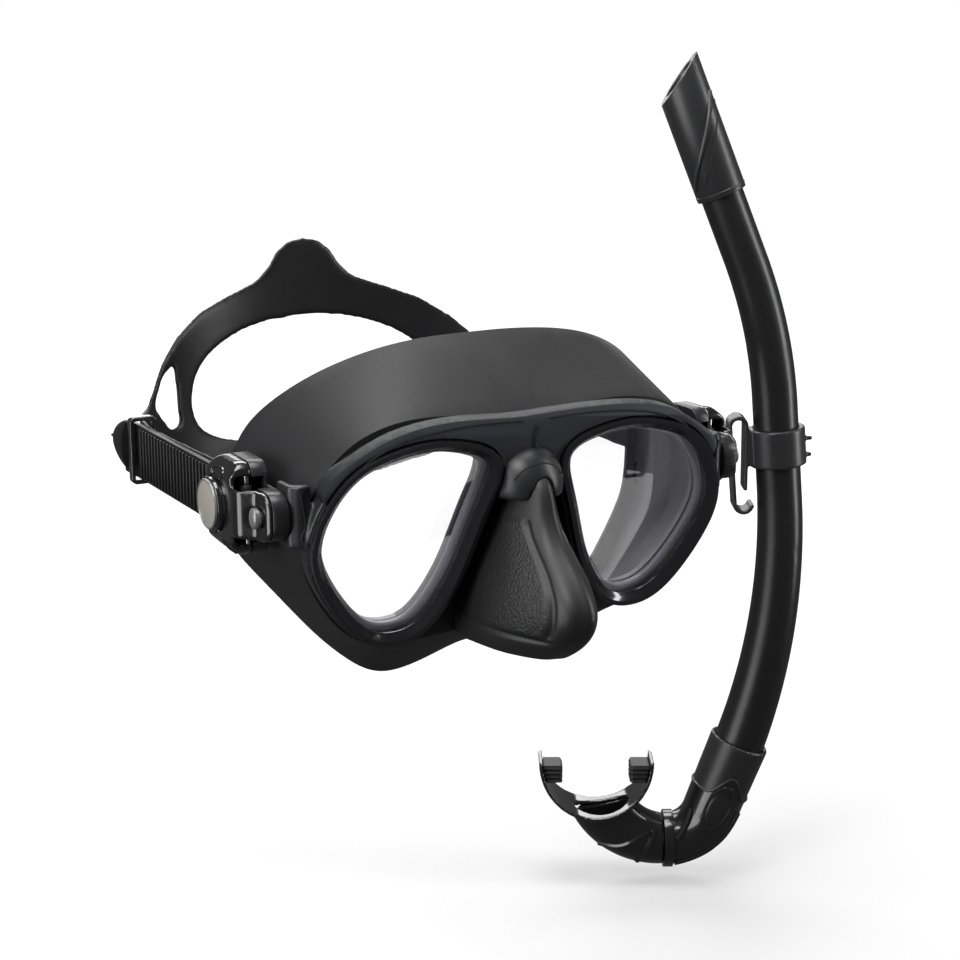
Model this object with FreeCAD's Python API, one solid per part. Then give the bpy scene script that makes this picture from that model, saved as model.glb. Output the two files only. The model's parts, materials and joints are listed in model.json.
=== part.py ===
"""Snorkel mask set: a two-lens diving mask with its head strap, and the snorkel that goes with it.

Row frame: +Z up, the mask looks along -Y, +X is the wearer's left. Millimetres.
The origin is the middle of the face seal's opening, on the mask's plane of symmetry.
One function makes each sub-part, and main() at the end writes one STEP file for each node.
"""
import FreeCAD, Part
import math
import os

from FreeCAD import Matrix, Rotation, Vector

# ---------------------------------------------------------------- driving dimensions
LENS_TILT = 10.7           # degrees: the lenses lean in at the bottom
LENS_PLANE_Y = -48.0       # front of the rims at the origin's height
RIM = [(10.4, 23), (14.8, 29.8), (24, 33.4), (37, 34.9), (52, 32.3), (66, 24), (75, 5), (70, -14), (57.5, -30),
       (44, -34.8), (31.5, -30), (21.5, -14.5), (15.5, 3), (11.4, 15)]    # outer edge of one lens rim, (x, up)
BEZEL_DEPTH = (-1.2, 1.5)  # depths are measured behind the rims' front plane, towards the face
BEZEL_INSET = (0.7, 4.6)   # from the rim's outer edge to the bezel's outer and inner edges
LENS_DEPTH = (1.6, 4.6)    # 3 mm tempered glass
LENS_INSET = 3.5
GASKET_DEPTH = (4.7, 6.4)
GASKET_INSET = (3.5, 6.2)
FRAME_DEPTH = (1.6, 8.0)
FRAME_LIP_DEPTH = 6.5      # behind this the frame's lip holds the gasket and the lens
BROW_DEPTH = (0.2, 4.9)
BROW = [(0, 39.2), (26, 39.8), (46, 37.6), (61, 31), (71.5, 19), (50, 8), (20, 5), (0, 11)]   # half outline

SKIRT_WALL = 2.0
SKIRT_FRONT = [(0, 37.6), (20, 38.2), (40, 38.6), (58, 33.2), (69.5, 21), (74.8, 7), (73.8, -5), (69.4, -16),
               (60, -29.5), (48, -37.5), (36, -39), (18, -37.6), (0, -37.2)]     # half outline at the frame
SKIRT_REAR = [(0, 87.5), (21, 84), (42, 71.5), (62, 54.5), (75, 36), (79.5, 13), (79, -5.5), (72.2, -19.3),
              (57.5, -39), (45, -56), (29, -70.5), (12, -67.5), (0, -61)]    # half outline at SKIRT_REAR_Y
SKIRT_REAR_Y = 12.0
FACE_PLAN = [(0, -15.5), (30, -14), (55, -8), (70, 0), (80, 10.5), (100, 30)]    # half plan of the face (x, y)
FACE_LEAN = -0.088         # the face surface moves forwards by this much for each millimetre up
SEAL_LIP = (1.6, 9.0)      # thickness and width of the seal's inner lip

NOSE = [(22.0, -54.0, 6.2), (8.0, -64.5, 10.0), (-6.0, -76.0, 14.0), (-19.0, -86.0, 17.6),
        (-29.0, -81.5, 18.6), (-37.2, -70.0, 16.6)]   # (height, foremost y, half width)
NOSE_WALL = 2.0
NOSE_BACK_Y = -33.0
HOOD_CENTRE = Vector(0, -46.5, 15.5)
HOOD_RADII = (12.6, 13.6, 14.0)
HOOD_LOW_Z = 12.0

# the strap, its buckles and what is in them; u is the distance outwards from the plane of symmetry
TILT_Y, TILT_Z = -38.5, 12.5     # axis, along X, on which both buckles turn
STRAP_LOW, STRAP_HIGH = 3.0, 22.0
STRAP_T = 1.6
BAND_T = 2.0
STRAP_TIP_CENTRE = Vector(90.6, 73.6, 13.4)
STRAP_TIP_HALF = (3.0, 10.0, 8.8)    # half sizes of the bullet-shaped tip
STRAP_TIP_BASE = -1.6      # where the bullet is cut off, from its centre
STRAP_NUB_R = 0.9          # the small pull nub on the tip
ROLLER_U, ROLLER_Y, ROLLER_R = 84.8, -19.0, 1.9
AXLE_R = 0.8
WRAP_R = 2.05              # inner radius of the strap's turn round the roller
BUCKLE_SPLIT_U = 84.8
BUTTON_Y, BUTTON_Z, BUTTON_R = -14.5, 12.4, 8.6
BUTTON_U = (90.5, 93.9)
DISC_T = 0.6
PAWL_U, PAWL_Y, PAWL_PIN_R = 86.2, -27.2, 0.9
SPRING_Y, SPRING_R, SPRING_WIRE = -31.2, 1.3, 0.22
RING_Y, RING_DEPTH, RING_T = 65.5, 3.4, 1.4
RING_U, RING_Z = (82.4, 92.2), (0.6, 24.4)

# the snorkel, laid out in its own plane: r to the side, z up, then turned about Z and moved out to the side
SNORKEL_YAW = -28.8
SNORKEL_PLACE = Vector(187.0, 62.0, 0.0)
TUBE_R, TUBE_WALL = 9.4, 1.8         # radius where the keeper slides, and wall
TUBE_TOP_R, TUBE_FOOT_R = 8.8, 11.0   # the tube is slimmer at its top and flares towards its foot
TUBE_GRIP = 9.0                       # length of the foot inside the elbow
TOP_LEAN, MID_LEAN, LOW_LEAN = 22.0, 5.0, -18.0   # degrees from upright, of the top, the middle and the foot
MID_HIGH, MID_LOW = 4.0, -34.0                    # heights between which the tube is straight for the keeper
MID_R = -1.9                                      # sideways place of the straight part's upper end
BEND_TOP_R, BEND_LOW_R = 208.8, 285.0
TUBE_TOP_RUN = 34.0
SLEEVE_R, SLEEVE_LEN, SLEEVE_GRIP = 10.3, 58.0, 6.0
ELBOW_R, ELBOW_RUN, ELBOW_BEND = 11.4, 35.5, 20.0   # radius at the mouthpiece's end
ELBOW_TOP_R, ELBOW_MID_R, ELBOW_BORE_R = 12.9, 12.3, 8.4
KEEPER_H, KEEPER_R = 16.0, 12.0
HOOK_WIDTH, HOOK_T = 11.0, 1.7
FLANGE_R, FLANGE_T, FLANGE_HALF = 23.5, 1.6, 15.0
MOUTH_TURN = 65.0          # degrees that the mouthpiece's throat turns upwards
MOUTH_BEND = 30.0


# ---------------------------------------------------------------- helpers
def loop(points):
    """Closed smooth wire through points, with its knots evenly spaced so that two loops match."""
    curve = Part.BSplineCurve()
    curve.interpolate(Points=points, PeriodicFlag=True, Parameters=[float(i) for i in range(len(points) + 1)])
    return Part.Wire(curve.toShape())


def inset(points, distance):
    """Points of a clockwise outline, each moved inwards, square to the outline."""
    moved = []
    for i, (x, z) in enumerate(points):
        before, after = points[i - 1], points[(i + 1) % len(points)]
        tx, tz = after[0] - before[0], after[1] - before[1]
        length = math.hypot(tx, tz)
        moved.append((x + distance * tz / length, z - distance * tx / length))
    return moved


def whole(half):
    """Full clockwise outline from its +X half, which starts and ends on the plane of symmetry."""
    return half + [(-x, z) for x, z in reversed(half[1:-1])]


def slab(points, near, far):
    """Solid between two depths inside a smooth outline of (x, up) points."""
    wire = loop([Vector(x, near, z) for x, z in points])
    return Part.Face(wire).extrude(Vector(0, far - near, 0))


def ring(points, outer, inner, near, far):
    """Band between two insets of an outline and between two depths."""
    return slab(inset(points, outer), near, far).cut(slab(inset(points, inner), near - 1, far + 1))


def prism(points, direction):
    """Straight-sided solid: a closed polygon pushed along a direction."""
    return Part.Face(Part.makePolygon(points + [points[0]])).extrude(direction)


def box(low, high):
    """Box between two corners."""
    size = [b - a for a, b in zip(low, high)]
    return Part.makeBox(*size, Vector(*low))


def rod(radius, start, end):
    """Round bar between two points."""
    start, end = Vector(*start), Vector(*end)
    return Part.makeCylinder(radius, (end - start).Length, start, end - start)


def mirrored(shape):
    """The same shape on the other side of the plane of symmetry."""
    return shape.mirror(Vector(0, 0, 0), Vector(1, 0, 0))


def leaned(shape):
    """Moves a shape from the lens plane's own frame to the row frame."""
    shape = shape.copy()
    shape.rotate(Vector(0, 0, 0), Vector(1, 0, 0), LENS_TILT)
    shape.translate(Vector(0, LENS_PLANE_Y, 0))
    return shape


def united(shapes):
    """Union of several shapes, with the seams between flat faces removed."""
    return shapes[0].multiFuse(shapes[1:]).removeSplitter()


# ---------------------------------------------------------------- lenses and frame
def bezel():
    """Glossy ring in front of one lens, bevelled towards the glass."""
    band = ring(RIM, *BEZEL_INSET, *BEZEL_DEPTH)
    near, far = BEZEL_DEPTH
    wide = loop([Vector(x, near - 0.01, z) for x, z in inset(RIM, BEZEL_INSET[1] - 2.2)])
    narrow = loop([Vector(x, far - 0.6, z) for x, z in inset(RIM, BEZEL_INSET[1] - 0.05)])
    return leaned(band.cut(Part.makeLoft([wide, narrow], True, True)))


def lens():
    """Flat pane of tempered glass."""
    return leaned(slab(inset(RIM, LENS_INSET + 0.05), *LENS_DEPTH))


def lens_gasket():
    """Soft ring that seals the glass against the frame's lip."""
    return leaned(ring(RIM, GASKET_INSET[0] + 0.05, GASKET_INSET[1], *GASKET_DEPTH))


def side_lug():
    """Ear at the frame's outer side, which carries the buckle's pivot."""
    plan = [(72.5, -45.2), (76.6, -46.2), (79.6, -43.6), (79.6, -34.5), (77.2, -34.5), (76.9, -41.5),
            (73.0, -42.9)]
    ear = prism([Vector(u, y, 3.0) for u, y in plan], Vector(0, 0, 19.5))
    ear = ear.cut(rod(2.0, (70, TILT_Y, TILT_Z), (90, TILT_Y, TILT_Z)))
    return ear.cut(skirt_form(-0.1, FRAME_DEPTH[1]))


def main_frame():
    """Both lens rims, the bar between them and the two side ears, moulded as one."""
    near, far = FRAME_DEPTH
    rim = ring(RIM, 0, LENS_INSET, near, far).fuse(ring(RIM, 1.0, GASKET_INSET[1] - 0.6, FRAME_LIP_DEPTH, far))
    rims = leaned(rim.fuse(mirrored(rim)))
    bridge = slab(inset(whole(BROW), 1.2), BROW_DEPTH[1] + 0.1, far)
    for side in (slab(RIM, 0, far + 1), mirrored(slab(RIM, 0, far + 1))):
        bridge = bridge.cut(side)
    filled = leaned(slab(inset(RIM, 1.0), -2, far + 2))
    ear = side_lug().cut(filled)
    bridge = leaned(bridge).cut(nose_form(-0.1, 22.1, -37.3))
    return united([rims, bridge, ear, mirrored(ear)])


def brow_bar():
    """Front trim that runs over both rims and down between them."""
    bar = slab(whole(BROW), *BROW_DEPTH)
    rim = slab(inset(RIM, -0.05), -2, BROW_DEPTH[1] + 1)
    bar = leaned(bar.cut(rim).cut(mirrored(rim)))
    bar = bar.cut(hood_block()).cut(nose_form(-0.1, 22.1, -37.3))
    return max(bar.Solids, key=lambda solid: solid.Volume)


def hood_block():
    """Full form of the hood over the nose, before it is hollowed."""
    ball = Part.makeSphere(1.0)
    scale = Matrix()
    scale.scale(*HOOD_RADII)
    ball = ball.transformGeometry(scale)
    ball.translate(HOOD_CENTRE)
    ball = ball.cut(box((-30, -90, -20), (30, 0, HOOD_LOW_Z)))
    return ball.cut(leaned(box((-30, BROW_DEPTH[1], -40), (30, 60, 60))))


def nose_form(wall, high, low):
    """Solid form of the nose pocket, smaller all round by wall, between two heights."""
    sections = []
    for z, front, half in NOSE:
        front, half = front + wall, half - wall
        middle = 0.5 * (front + NOSE_BACK_Y)
        tip = front + 0.10 * (middle - front)
        half_outline = [(0, front), (0.30 * half, tip), (0.62 * half, 0.5 * (front + middle)),
                        (0.84 * half, middle), (half, NOSE_BACK_Y - 5), (0.92 * half, NOSE_BACK_Y),
                        (0.4 * half, NOSE_BACK_Y + 1), (0, NOSE_BACK_Y + 1)]
        level = min(max(z, low), high)
        sections.append(loop([Vector(x, y, level) for x, y in whole(half_outline)]))
    return Part.makeLoft(sections, True, False)


def nose_pocket():
    """Hollow pocket for the nose, open at its back and joined to the skirt's front wall."""
    shell = nose_form(0, 22.0, -37.2).cut(nose_form(NOSE_WALL, 20.0, -35.2))
    return shell.cut(leaned(box((-40, FRAME_DEPTH[1], -90), (40, 90, 90))))


def bridge_hood():
    """Rounded hood between the rims, over the top of the nose pocket."""
    rim = leaned(slab(inset(RIM, -0.05), -3, FRAME_DEPTH[1]))
    return hood_block().cut(nose_form(-0.3, 22.3, -37.5)).cut(rim).cut(mirrored(rim))


# ---------------------------------------------------------------- skirt
def face_form(forward):
    """Solid stand-in for the wearer's face; its front surface is moved towards -Y by forward."""
    half = [Vector(x, y - forward, 0) for x, y in FACE_PLAN]
    points = [Vector(-p.x, p.y, 0) for p in reversed(half[1:])] + half
    curve = Part.BSplineCurve()
    curve.interpolate(points)
    sides = Part.makePolygon([points[-1], Vector(100, 90, 0), Vector(-100, 90, 0), points[0]])
    face = Part.Face(Part.Wire([curve.toShape()] + sides.Edges))
    face.translate(Vector(0, -100 * FACE_LEAN, -100))
    return face.extrude(Vector(0, 200 * FACE_LEAN, 200))


def skirt_form(wall, depth):
    """Solid form of the skirt, smaller all round by wall, from a depth behind the rims to the rear outline."""
    front = loop([Vector(x, depth, z) for x, z in inset(whole(SKIRT_FRONT), wall)])
    front = leaned(front)
    rear = loop([Vector(x, SKIRT_REAR_Y, z) for x, z in inset(whole(SKIRT_REAR), wall)])
    return Part.makeLoft([front, rear], True, True)


def skirt():
    """Soft skirt: front wall behind the frame, and the flared wall that runs back to the face."""
    front = FRAME_DEPTH[1]
    shell = skirt_form(0, front).cut(skirt_form(SKIRT_WALL, front + SKIRT_WALL))
    window = leaned(slab(inset(RIM, GASKET_INSET[1] - 0.6), front - 2, front + 6))
    shell = shell.cut(window).cut(mirrored(window))
    nose_way = nose_form(NOSE_WALL, 20.0, -35.2)
    return shell.cut(nose_way).cut(face_form(0))


def seal_lip():
    """Thin inner lip of the face seal, turned in from the skirt's rear edge."""
    thickness, width = SEAL_LIP
    front = FRAME_DEPTH[1] + SKIRT_WALL
    body = skirt_form(SKIRT_WALL, front).common(face_form(thickness))
    return body.cut(face_form(0)).cut(skirt_form(SKIRT_WALL + width, front))


# ---------------------------------------------------------------- strap
def plan_band(middle, thickness, low, high, straight=False):
    """Upright band of even thickness along a line in plan, given as (x, y) points."""
    left, right = [], []
    for i, (x, y) in enumerate(middle):
        before, after = middle[max(i - 1, 0)], middle[min(i + 1, len(middle) - 1)]
        tx, ty = after[0] - before[0], after[1] - before[1]
        nx, ny = -ty / math.hypot(tx, ty) * thickness / 2, tx / math.hypot(tx, ty) * thickness / 2
        left.append(Vector(x + nx, y + ny, low))
        right.append(Vector(x - nx, y - ny, low))
    if straight:
        edges = Part.makePolygon(left + right[::-1] + [left[0]]).Edges
    else:
        sides = []
        for points in (left, right):
            curve = Part.BSplineCurve()
            curve.interpolate(points)
            sides.append(curve.toShape())
        edges = [sides[0], Part.makeLine(left[-1], right[-1]), sides[1], Part.makeLine(right[0], left[0])]
    face = Part.Face(Part.Wire(Part.__sortEdges__(edges)))
    return face.extrude(Vector(0, 0, high - low))


ARM_START = (ROLLER_U - WRAP_R - STRAP_T / 2, ROLLER_Y + 2.0)
ARM_END = (85.9, 64.0)
BAND_HALF = [(0, 126), (23, 124.6), (45, 118.6), (62, 109), (74.5, 96.5), (82.6, 81), ARM_END, (85.6, 44),
             (84.2, 14), ARM_START]


def headband():
    """Split rear band that cups the back of the head, with its two arms."""
    half = [(x, y) for x, y in BAND_HALF]
    line = [(-x, y) for x, y in reversed(half[1:])] + half
    band = plan_band(line, BAND_T, -40, 90)
    top = [(0, 76.5), (6.5, 75.2), (11.8, 71), (15.5, 65.5), (21, 60.5), (34, 56), (46, 51.5), (58, 43.5),
           (66.5, 34.8), (71.8, 26.5), (75.5, STRAP_HIGH), (96, STRAP_HIGH)]
    bottom = [(96, STRAP_LOW), (76, STRAP_LOW), (66, -6), (50, -15), (30, -21), (0, -24)]
    half_outline = top + bottom
    outline = [Vector(x, -30, z) for x, z in half_outline]
    outline += [Vector(-x, -30, z) for x, z in reversed(half_outline[1:-1])]
    band = band.common(prism(outline, Vector(0, 190, 0)))
    window = loop([Vector(x, 60, z) for x, z in whole(
        [(0, 45.5), (16, 44.3), (33, 39.5), (45, 32), (50.6, 23), (50.4, 12), (44, 4.5), (33, 0), (16, -3.4),
         (0, -4)])])
    band = band.cut(Part.Face(window).extrude(Vector(0, 90, 0)))
    corner = [(60, 33.5), (66.5, 29.5), (71.6, 20.5), (63, 9.8), (58.4, 10.2)]
    for side in (1, -1):
        band = band.cut(prism([Vector(side * x, 60, z) for x, z in corner], Vector(0, 90, 0)))
    return band


def strap_end():
    """Free end of the strap: round the roller, back along the outside, and out past the keeper ring."""
    height = STRAP_HIGH - STRAP_LOW
    outer_r = WRAP_R + STRAP_T
    turn = Part.makeCylinder(outer_r, height, Vector(ROLLER_U, ROLLER_Y, STRAP_LOW))
    turn = turn.cut(Part.makeCylinder(WRAP_R, height, Vector(ROLLER_U, ROLLER_Y, STRAP_LOW)))
    turn = turn.common(box((70, ROLLER_Y - 9, 0), (99, ROLLER_Y, 30)))
    inner_end_y = ARM_START[1] - 0.25
    inner = box((ROLLER_U - outer_r, ROLLER_Y, STRAP_LOW), (ROLLER_U - WRAP_R, inner_end_y, STRAP_HIGH))
    out_u = ROLLER_U + WRAP_R + STRAP_T / 2
    line = [(out_u, ROLLER_Y), (out_u, -6), (88.6, 44), (88.9, 66), (89.4, 72), (90.2, 76)]
    outer = plan_band(line, STRAP_T, STRAP_LOW, STRAP_HIGH, straight=True)
    tip = Part.makeSphere(1.0)
    scale = Matrix()
    scale.scale(*STRAP_TIP_HALF)
    tip = tip.transformGeometry(scale)
    tip = tip.cut(box((-9, -20, -20), (9, STRAP_TIP_BASE, 20)))
    nub = rod(STRAP_NUB_R, (0, STRAP_TIP_HALF[1] - 1.0, 0.6), (0, STRAP_TIP_HALF[1] + 1.2, 0.6))
    tip = tip.fuse(nub)
    tip.translate(STRAP_TIP_CENTRE)
    return turn.multiFuse([inner, outer, tip])


def keeper_ring():
    """Flat-wire loop that holds the strap's free end against the band."""
    outer = box((RING_U[0], RING_Y, RING_Z[0]), (RING_U[1], RING_Y + RING_DEPTH, RING_Z[1]))
    along = [e for e in outer.Edges if abs(e.Vertexes[0].Point.y - e.Vertexes[1].Point.y) > 1]
    outer = outer.makeFillet(2.0, along)
    inner = box((RING_U[0] + RING_T, RING_Y - 1, RING_Z[0] + RING_T),
                (RING_U[1] - RING_T, RING_Y + RING_DEPTH + 1, RING_Z[1] - RING_T))
    along = [e for e in inner.Edges if abs(e.Vertexes[0].Point.y - e.Vertexes[1].Point.y) > 1]
    return outer.cut(inner.makeFillet(0.8, along))


# ---------------------------------------------------------------- buckle
def rounded_plate(low, high, radius):
    """Plate across X with its four long edges rounded."""
    plate = box(low, high)
    along = [e for e in plate.Edges if abs(e.Vertexes[0].Point.x - e.Vertexes[1].Point.x) > 1]
    return plate.makeFillet(radius, along)


def buckle_shell():
    """Whole housing of the buckle, before it is split into its two halves."""
    lobes = [rounded_plate((70, -29, -2.4), (99, -8, 27.2), 5.5),
             rounded_plate((70, -45.5, 5.0), (99, -20, 20.2), 6.5),
             rod(BUTTON_R + 2.0, (70, BUTTON_Y, BUTTON_Z), (99, BUTTON_Y, BUTTON_Z))]
    outline = lobes[0].multiFuse(lobes[1:])
    plan = [(79.8, -45.5), (84.2, -45.5), (86.4, -43.5), (87.2, -37.0), (91.4, -33.4), (92.2, -31.0),
            (92.2, -5.4), (90.0, -3.4), (79.8, -3.4)]
    body = outline.common(prism([Vector(u, y, -10) for u, y in plan], Vector(0, 0, 50)))
    bevel = 2.4
    for z, way in ((-2.4, 1), (27.2, -1)):
        corner = [Vector(93, -60, z), Vector(93, -60, z + way * bevel * 2), Vector(88.4, -60, z)]
        wedge = prism(corner, Vector(0, 60, 0))
        body = body.cut(wedge)
    cavity = box((80.9, -33.2, 1.9), (90.6, 5, 22.9))
    way = BUTTON_R + 0.3
    hole = rod(way, (89, BUTTON_Y, BUTTON_Z), (99, BUTTON_Y, BUTTON_Z))
    head_room = rod(3.5, (87.3, TILT_Y, TILT_Z), (99, TILT_Y, TILT_Z))
    pivot = rod(2.05, (70, TILT_Y, TILT_Z), (99, TILT_Y, TILT_Z))
    axle = rod(AXLE_R, (ROLLER_U, ROLLER_Y, 0.3), (ROLLER_U, ROLLER_Y, 24.5))
    pin = rod(PAWL_PIN_R, (PAWL_U, PAWL_Y, 0.3), (PAWL_U, PAWL_Y, 24.5))
    body = body.cut(cavity.multiFuse([hole, head_room, pivot, axle, pin]))
    for z, way in ((6.2, -1), (18.8, 1)):
        scoop = rod(2.6, (89.2, -30.5, z + way * 8.4), (99, -30.5, z + way * 8.4))
        body = body.cut(scoop)
    return body


def buckle_base(shell):
    """Inner half of the buckle's housing."""
    return shell.common(box((60, -60, -20), (BUCKLE_SPLIT_U, 20, 50)))


def buckle_cover(shell):
    """Outer, glossy half of the buckle's housing."""
    return shell.common(box((BUCKLE_SPLIT_U, -60, -20), (110, 20, 50)))


def pivot_rivet():
    """Rivet through the frame's ear on which the buckle turns, with its oval head."""
    shank = rod(2.0, (77.4, TILT_Y, TILT_Z), (87.6, TILT_Y, TILT_Z))
    head = rod(3.2, (87.4, TILT_Y, TILT_Z), (88.5, TILT_Y, TILT_Z))
    return shank.fuse(head).removeSplitter()


def roller():
    """Toothed sleeve that the strap turns round; its teeth are finer than the model needs and are left off."""
    sleeve = rod(ROLLER_R, (ROLLER_U, ROLLER_Y, 2.4), (ROLLER_U, ROLLER_Y, 22.4))
    return sleeve.cut(rod(AXLE_R + 0.05, (ROLLER_U, ROLLER_Y, 0), (ROLLER_U, ROLLER_Y, 30)))


def roller_axle():
    """Steel pin of the roller, held by the housing's two halves."""
    return rod(AXLE_R, (ROLLER_U, ROLLER_Y, 0.3), (ROLLER_U, ROLLER_Y, 24.5))


def pawl_pin():
    """Steel pin of the pawl."""
    return rod(PAWL_PIN_R, (PAWL_U, PAWL_Y, 0.3), (PAWL_U, PAWL_Y, 24.5))


def pawl():
    """Lever with one arm under the button's tongue and a tooth at the strap's turn."""
    hub = rod(1.7, (PAWL_U, PAWL_Y, 5.0), (PAWL_U, PAWL_Y, 20.0))
    arm = prism([Vector(PAWL_U - 1.0, PAWL_Y + 1.0, 8.5), Vector(PAWL_U + 1.2, PAWL_Y + 0.2, 8.5),
                 Vector(89.6, -24.6, 8.5), Vector(89.4, -23.6, 8.5)], Vector(0, 0, 8))
    tooth = prism([Vector(PAWL_U + 0.6, PAWL_Y + 1.2, 5.0), Vector(PAWL_U - 1.6, PAWL_Y + 0.2, 5.0),
                   Vector(84.2, -23.4, 5.0), Vector(85.2, -23.2, 5.0)], Vector(0, 0, 15))
    lever = united([hub, arm, tooth])
    return lever.cut(rod(PAWL_PIN_R + 0.05, (PAWL_U, PAWL_Y, 0), (PAWL_U, PAWL_Y, 30)))


def release_button():
    """Round push button, with the flange that keeps it in and the tongue that reaches the pawl."""
    cap = rod(BUTTON_R, (BUTTON_U[0] - 0.1, BUTTON_Y, BUTTON_Z), (BUTTON_U[1], BUTTON_Y, BUTTON_Z))
    flange = rod(9.4, (89.9, BUTTON_Y, BUTTON_Z), (BUTTON_U[0], BUTTON_Y, BUTTON_Z))
    tongue = box((89.9, -32.8, 8.4), (90.5, -20, 16.6))
    return united([cap, flange, tongue])


def button_disc():
    """Brushed metal disc set on the button's face."""
    return rod(BUTTON_R - 0.7, (BUTTON_U[1], BUTTON_Y, BUTTON_Z), (BUTTON_U[1] + DISC_T, BUTTON_Y, BUTTON_Z))


def button_spring():
    """Coil spring that pushes the button out."""
    length = 89.6 - 81.2
    path = Part.makeHelix(length / 6, length, SPRING_R)
    start = Vector(SPRING_R, 0, 0)
    section = Part.Wire(Part.Circle(start, Vector(0, 1, 0), SPRING_WIRE).toShape())
    coil = Part.Wire(path.Edges).makePipeShell([section], True, True)
    coil.rotate(Vector(0, 0, 0), Vector(0, 1, 0), 90)
    coil.translate(Vector(81.2, SPRING_Y, BUTTON_Z))
    return coil


# ---------------------------------------------------------------- snorkel
def placed(shape):
    """Moves a shape from the snorkel's own plane to its place beside the mask."""
    shape = shape.copy()
    shape.rotate(Vector(0, 0, 0), Vector(0, 0, 1), SNORKEL_YAW)
    shape.translate(SNORKEL_PLACE)
    return shape


def heading(lean):
    """Downward direction of the tube's line for a lean in degrees: positive runs down to +r."""
    angle = math.radians(lean)
    return Vector(math.sin(angle), 0, -math.cos(angle))


def bend(start, lean_from, lean_to, radius):
    """Arc edge that turns the line from one lean to another, its end point, walking downwards."""
    turn = -1 if lean_to < lean_from else 1
    towards = Vector(-heading(lean_from).z, 0, heading(lean_from).x) * turn
    centre = start + towards * radius

    def at(lean):
        side = Vector(-heading(lean).z, 0, heading(lean).x) * turn
        return centre - side * radius

    end = at(lean_to)
    return Part.Arc(start, at(0.5 * (lean_from + lean_to)), end).toShape(), end


def tube_line():
    """Edges of the tube's middle line from its top to its foot, and its key points."""
    high = Vector(MID_R, 0, MID_HIGH)
    low = high + heading(MID_LEAN) * ((MID_HIGH - MID_LOW) / math.cos(math.radians(MID_LEAN)))
    up_bend, bend_top = bend(high, MID_LEAN, TOP_LEAN, -BEND_TOP_R)
    top = bend_top - heading(TOP_LEAN) * TUBE_TOP_RUN
    low_bend, foot = bend(low, MID_LEAN, LOW_LEAN, BEND_LOW_R)
    edges = [Part.makeLine(top, bend_top), up_bend, Part.makeLine(high, low), low_bend]
    return edges, {"top": top, "high": high, "low": low, "foot": foot}


def piped(edges, start, direction, radius):
    """Round bar along a line of edges."""
    section = Part.Wire(Part.Circle(start, direction, radius).toShape())
    return Part.Wire(Part.__sortEdges__(edges)).makePipeShell([section], True, True)


def tapered(edge, start_r, end_r):
    """Round bar along one edge, whose radius changes evenly from start_r to end_r."""
    steps = 5
    rings = []
    for i in range(steps + 1):
        at = edge.FirstParameter + i / steps * (edge.LastParameter - edge.FirstParameter)
        radius = start_r + i / steps * (end_r - start_r)
        rings.append(Part.Wire(Part.Circle(edge.valueAt(at), edge.tangentAt(at), radius).toShape()))
    return Part.makeLoft(rings, True, False)


def tube_form(grow):
    """Solid form of the tube with the part of its foot that the elbow grips, larger all round by grow."""
    edges, points = tube_line()
    straight = (points["low"] - points["high"]).Length
    return united([
        Part.makeCylinder(TUBE_TOP_R + grow, TUBE_TOP_RUN, points["top"], heading(TOP_LEAN)),
        tapered(edges[1], TUBE_R + grow, TUBE_TOP_R + grow),
        Part.makeCylinder(TUBE_R + grow, straight, points["high"], heading(MID_LEAN)),
        tapered(edges[3], TUBE_R + grow, TUBE_FOOT_R + grow),
        Part.makeCylinder(TUBE_FOOT_R + grow, TUBE_GRIP, points["foot"], heading(LOW_LEAN)),
    ])


def snorkel_tube():
    """Curved main tube."""
    return placed(tube_form(0).cut(tube_form(-TUBE_WALL)))


def top_sleeve():
    """Sleeve pushed over the tube's top, cut off at a slant at its mouth."""
    top = tube_line()[1]["top"]
    way = heading(TOP_LEAN)
    start = top - way * (SLEEVE_LEN - SLEEVE_GRIP)
    outer = Part.makeCylinder(SLEEVE_R, SLEEVE_LEN, start, way)
    bore = Part.makeCylinder(TUBE_TOP_R - TUBE_WALL, SLEEVE_LEN + 2, start - way, way)
    socket = Part.makeCylinder(TUBE_TOP_R, SLEEVE_GRIP, top, way)
    sleeve = outer.cut(bore).cut(socket)
    high = Vector(-38.6, -30, 147.0)
    low = Vector(-55.0, -30, 121.5)
    cutter = prism([high, low, low + Vector(-40, 0, 10), low + Vector(-10, 0, 60), high + Vector(20, 0, 30)],
                   Vector(0, 60, 0))
    return placed(sleeve.cut(cutter))


def elbow():
    """Bent connector from the tube's foot to the mouthpiece, with the socket that holds the tube."""
    foot = tube_line()[1]["foot"]
    run_end = foot + heading(LOW_LEAN - 2) * ELBOW_RUN
    arc, end = bend(run_end, LOW_LEAN - 2, -90, ELBOW_BEND)
    run = Part.makeLine(foot, run_end)
    solid = united([tapered(run, ELBOW_TOP_R, ELBOW_MID_R), tapered(arc, ELBOW_MID_R, ELBOW_R)])
    bore = piped([run, arc], foot, heading(LOW_LEAN - 2), ELBOW_BORE_R)
    return placed(solid.cut(bore).cut(tube_form(0))), end


def elbow_badge():
    """Plain oval plate let into the elbow's side."""
    ball = Part.makeSphere(1.0)
    scale = Matrix()
    scale.scale(4.6, 1.1, 10.0)
    plate = ball.transformGeometry(scale)
    plate.rotate(Vector(0, 0, 0), Vector(0, 1, 0), 24)
    plate.translate(Vector(-21.5, 0.4 - ELBOW_MID_R, -174.0))
    return placed(plate)


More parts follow.
